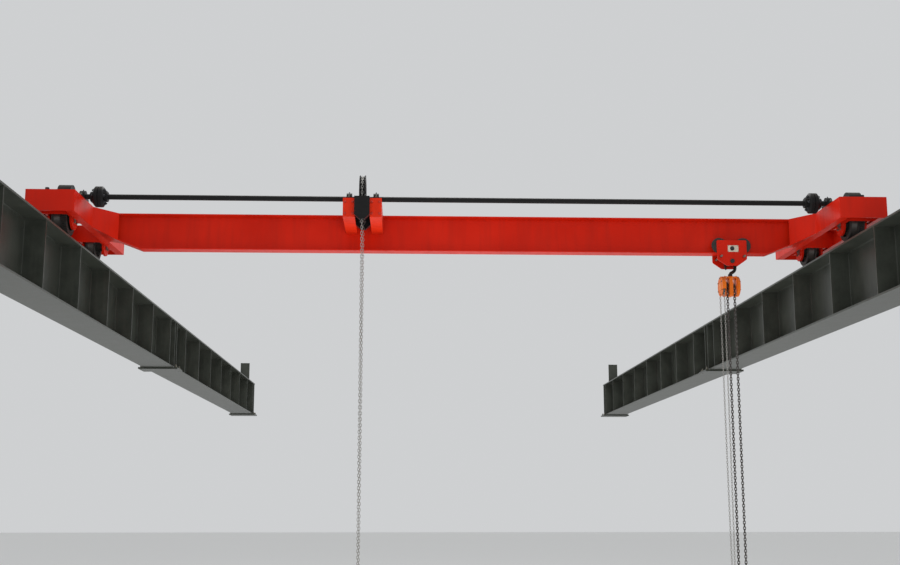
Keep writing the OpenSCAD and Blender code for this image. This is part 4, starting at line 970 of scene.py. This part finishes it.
class CRANE_OT_trolley_trim(bpy.types.Operator):
    """Blank plate with its rivets and middle nut, and the caps of the hoist's pin"""
    bl_idname = "crane.trolley_trim"
    bl_label = "Trolley trim"
    plate_w, plate_h, plate_t, pin_proud = 0.096, 0.060, 0.0015, 0.008

    def execute(self, context):
        front, back = box_of("trolley_front_plate")[0][1], box_of("trolley_back_plate")[1][1]
        x, z = middle_of("trolley_front_plate")[0] + 0.012, box_of("left_rail")[1][2] + 0.012
        outer = front - self.plate_t
        sheet = copies(plate(self.plate_w, self.plate_h, self.plate_t, 0.0006),
                       place((x, front, z), (0, -1, 0)))
        make_piece("blank_plate", [sheet], "trolley", "pale_plate")
        caps = [copies(screw(0.019), place((x - 0.009, outer, z + 0.001), (0, -1, 0)))]
        pin = joints["hoist_swing"]["pos_m"]
        disc = lathe([(0.016, 0.0), (0.0175, 0.001), (0.0175, 0.005), (0.015, 0.007), (0.006, 0.0072)], 24)
        for y, out in ((front - self.pin_proud, -1), (back + self.pin_proud, 1)):
            caps.append(copies(disc, place((pin[0], y, pin[2]), (0, out, 0))))
        make_piece("pin_caps", caps, "trolley", "black_paint")
        rivet = lathe([(0.0035, 0.0), (0.003, 0.0016), (0.0012, 0.0024)], 8)
        across, up = self.plate_w / 2 - 0.005, self.plate_h / 2 - 0.005
        corners = [(x + i * across, outer, z + j * up) for i in (-1, 1) for j in (-1, 1)]
        make_piece("plate_rivets", [copies(rivet, place(corners, (0, -1, 0)))], "trolley",
                   "zinc_fastener")
        return {"FINISHED"}


# Hoist

class CRANE_OT_hoist_trim(bpy.types.Operator):
    """Cover screws and bosses, the top hook's collar and the bolts of the lower block"""
    bl_idname = "crane.hoist_trim"
    bl_label = "Hoist trim"

    def execute(self, context):
        sizes = context.scene.crane_sizes
        boss = lathe([(0.030, 0.0), (0.030, 0.002), (0.027, 0.004), (0.012, 0.004), (0.010, 0.003)], 24)
        shapes = []
        for node, out in (("hand_wheel_cover", -1), ("gear_cover", 1)):
            lo, hi = box_of(node)
            x = lo[0] if out < 0 else hi[0]
            _, y, z = (lo + hi) / 2
            at = bolt_circle(x, y, z, (hi[2] - lo[2]) / 2 - 0.016, 6, 0.5)
            shapes.append(copies(screw(sizes.small_bolt_d), sideways(at, out)))
            shape = copies(boss, sideways((x - out * 0.001, y, z), out))
            make_piece(node + "_boss", [shape], "hoist", "hoist_paint")
        make_piece("cover_screws", shapes, "hoist", "zinc_fastener")
        self.collar()
        self.block(sizes)
        return {"FINISHED"}

    def collar(self):
        """Swivel collar on the shank of the top hook, just above the hoist's body."""
        x, y, _ = joints["hoist_swing"]["pos_m"]
        top = box_of("hoist_frame")[1][2]
        collar = lathe([(0.013, 0.0), (0.019, 0.001), (0.020, 0.004), (0.020, 0.012), (0.017, 0.016),
                        (0.013, 0.017)], 18)
        make_piece("hook_collar", [copies(collar, place((x, y, top)))], "hoist",
                   "forged_black")

    def block(self, sizes):
        """Bolts of the lower block's cheeks, at its sheave pin and above the hook."""
        cheek_bolt_x, cheek_bolt_drop = 0.024, 0.080
        lo, hi = box_of("load_hook")
        x = (lo[0] + hi[0]) / 2
        chain_lo, chain_hi = box_of("load_chain")
        w = sizes.load_chain_w
        pin_z = chain_lo[2] + w / 2 + (chain_hi[0] - chain_lo[0] - w) / 2
        shapes = []
        for y, out in ((lo[1], -1), (hi[1], 1)):
            shapes.append(copies(screw(0.012), place((x, y, pin_z), (0, out, 0))))
            at = [(x + i * cheek_bolt_x, y, pin_z - cheek_bolt_drop) for i in (-1, 1)]
            shapes.append(copies(screw(sizes.small_bolt_d * 1.3), place(at, (0, out, 0))))
        make_piece("block_bolts", shapes, "hoist", "zinc_fastener")


# Stage

class CRANE_OT_stage(bpy.types.Operator):
    """Pale floor, soft light and the camera"""
    bl_idname = "crane.stage"
    bl_label = "Stage"

    def execute(self, context):
        sizes = context.scene.crane_sizes
        self.floor(sizes.floor_z)
        self.world(context)
        self.lamps()
        self.camera(context, sizes.lens)
        context.scene.view_settings.view_transform = "Standard"
        return {"FINISHED"}

    def floor(self, z):
        mesh = bpy.data.meshes.new("floor")
        mesh.from_pydata([(-60, -60, z), (60, -60, z), (60, 60, z), (-60, 60, z)], [], [(0, 1, 2, 3)])
        pale = Finish("floor_white")
        pale.set(Base_Color=(0.80, 0.80, 0.79), Roughness=0.9)
        mesh.materials.append(pale.material)
        floor = add("floor", mesh)

    def world(self, context):
        """An even pale grey all round, the same as light and as background."""
        world = bpy.data.worlds.new("pale_world")
        context.scene.world = world
        world.use_nodes = True
        world.node_tree.nodes["Background"].inputs["Color"].default_value = (0.62, 0.63, 0.64, 1)

    def lamps(self):
        """A long soft lamp over the crane's middle, one that stands for light from the floor, and a
        weaker one low before the bridge. Only the first shows as a highlight."""
        for name, at, tilt, size, power, spread in (
            ("overhead", (3.37, 8.0, 7.0), 0, (5.0, 13.0), 420.0, 180),
            ("from_floor", (3.37, 6.5, -3.0), 180, (5.0, 14.0), 220.0, 180),
            ("fill", (3.37, -3.6, -0.7), 108, (4.0, 2.2), 45.0, 90),
        ):
            lamp = bpy.data.lights.new(name, "AREA")
            lamp.shape = "RECTANGLE"
            lamp.size, lamp.size_y = size
            lamp.energy = power
            lamp.spread = math.radians(spread)
            holder = add(name, lamp)
            holder.location = at
            holder.rotation_euler = (math.radians(tilt), 0, 0)
            holder.visible_camera = False
            holder.visible_glossy = name == "overhead"

    def camera(self, context, lens):
        """The photograph's own view, solved from its straight edges: from below the rails and before
        the bridge, looking 10.4 degrees up and 2.2 to the right."""
        camera = bpy.data.cameras.new("camera")
        camera.lens = lens
        camera.sensor_width = 36
        camera.clip_end = 200
        holder = add("camera", camera)
        middle = (box_of("left_rail")[0][0] + box_of("right_rail")[1][0]) / 2
        holder.location = (middle - 0.460, -6.920, -1.554)
        holder.rotation_euler = (math.radians(100.37), 0, math.radians(-2.15))
        context.scene.camera = holder


class CRANE_PT_panel(bpy.types.Panel):
    """Every step of the crane's finish, in order"""
    bl_idname = "CRANE_PT_panel"
    bl_label = "Overhead bridge crane"
    bl_space_type = "VIEW_3D"
    bl_region_type = "UI"
    bl_category = "Crane"

    def draw(self, context):
        for operator in OPERATORS:
            self.layout.operator(operator.bl_idname)
        for group in (context.scene.crane_sizes, context.scene.crane_colours):
            column = self.layout.column()
            for name in group.__annotations__:
                column.prop(group, name)


OPERATORS = (
    CRANE_OT_finishes, CRANE_OT_chains, CRANE_OT_rail_clips, CRANE_OT_runway_bolts,
    CRANE_OT_runway_welds, CRANE_OT_bridge_welds, CRANE_OT_shaft_trim, CRANE_OT_wheel_trim,
    CRANE_OT_guide_trim, CRANE_OT_trolley_trim, CRANE_OT_hoist_trim, CRANE_OT_stage,
)
CLASSES = (CraneColours, CraneSizes, *OPERATORS, CRANE_PT_panel)


def register():
    for cls in CLASSES:
        bpy.utils.register_class(cls)
    bpy.types.Scene.crane_colours = PointerProperty(type=CraneColours)
    bpy.types.Scene.crane_sizes = PointerProperty(type=CraneSizes)


def unregister():
    del bpy.types.Scene.crane_sizes
    del bpy.types.Scene.crane_colours
    for cls in reversed(CLASSES):
        bpy.utils.unregister_class(cls)


def main():
    register()
    for operator in OPERATORS:
        getattr(bpy.ops.crane, operator.bl_idname.split(".")[1])()


if __name__ == "__main__":
    main()
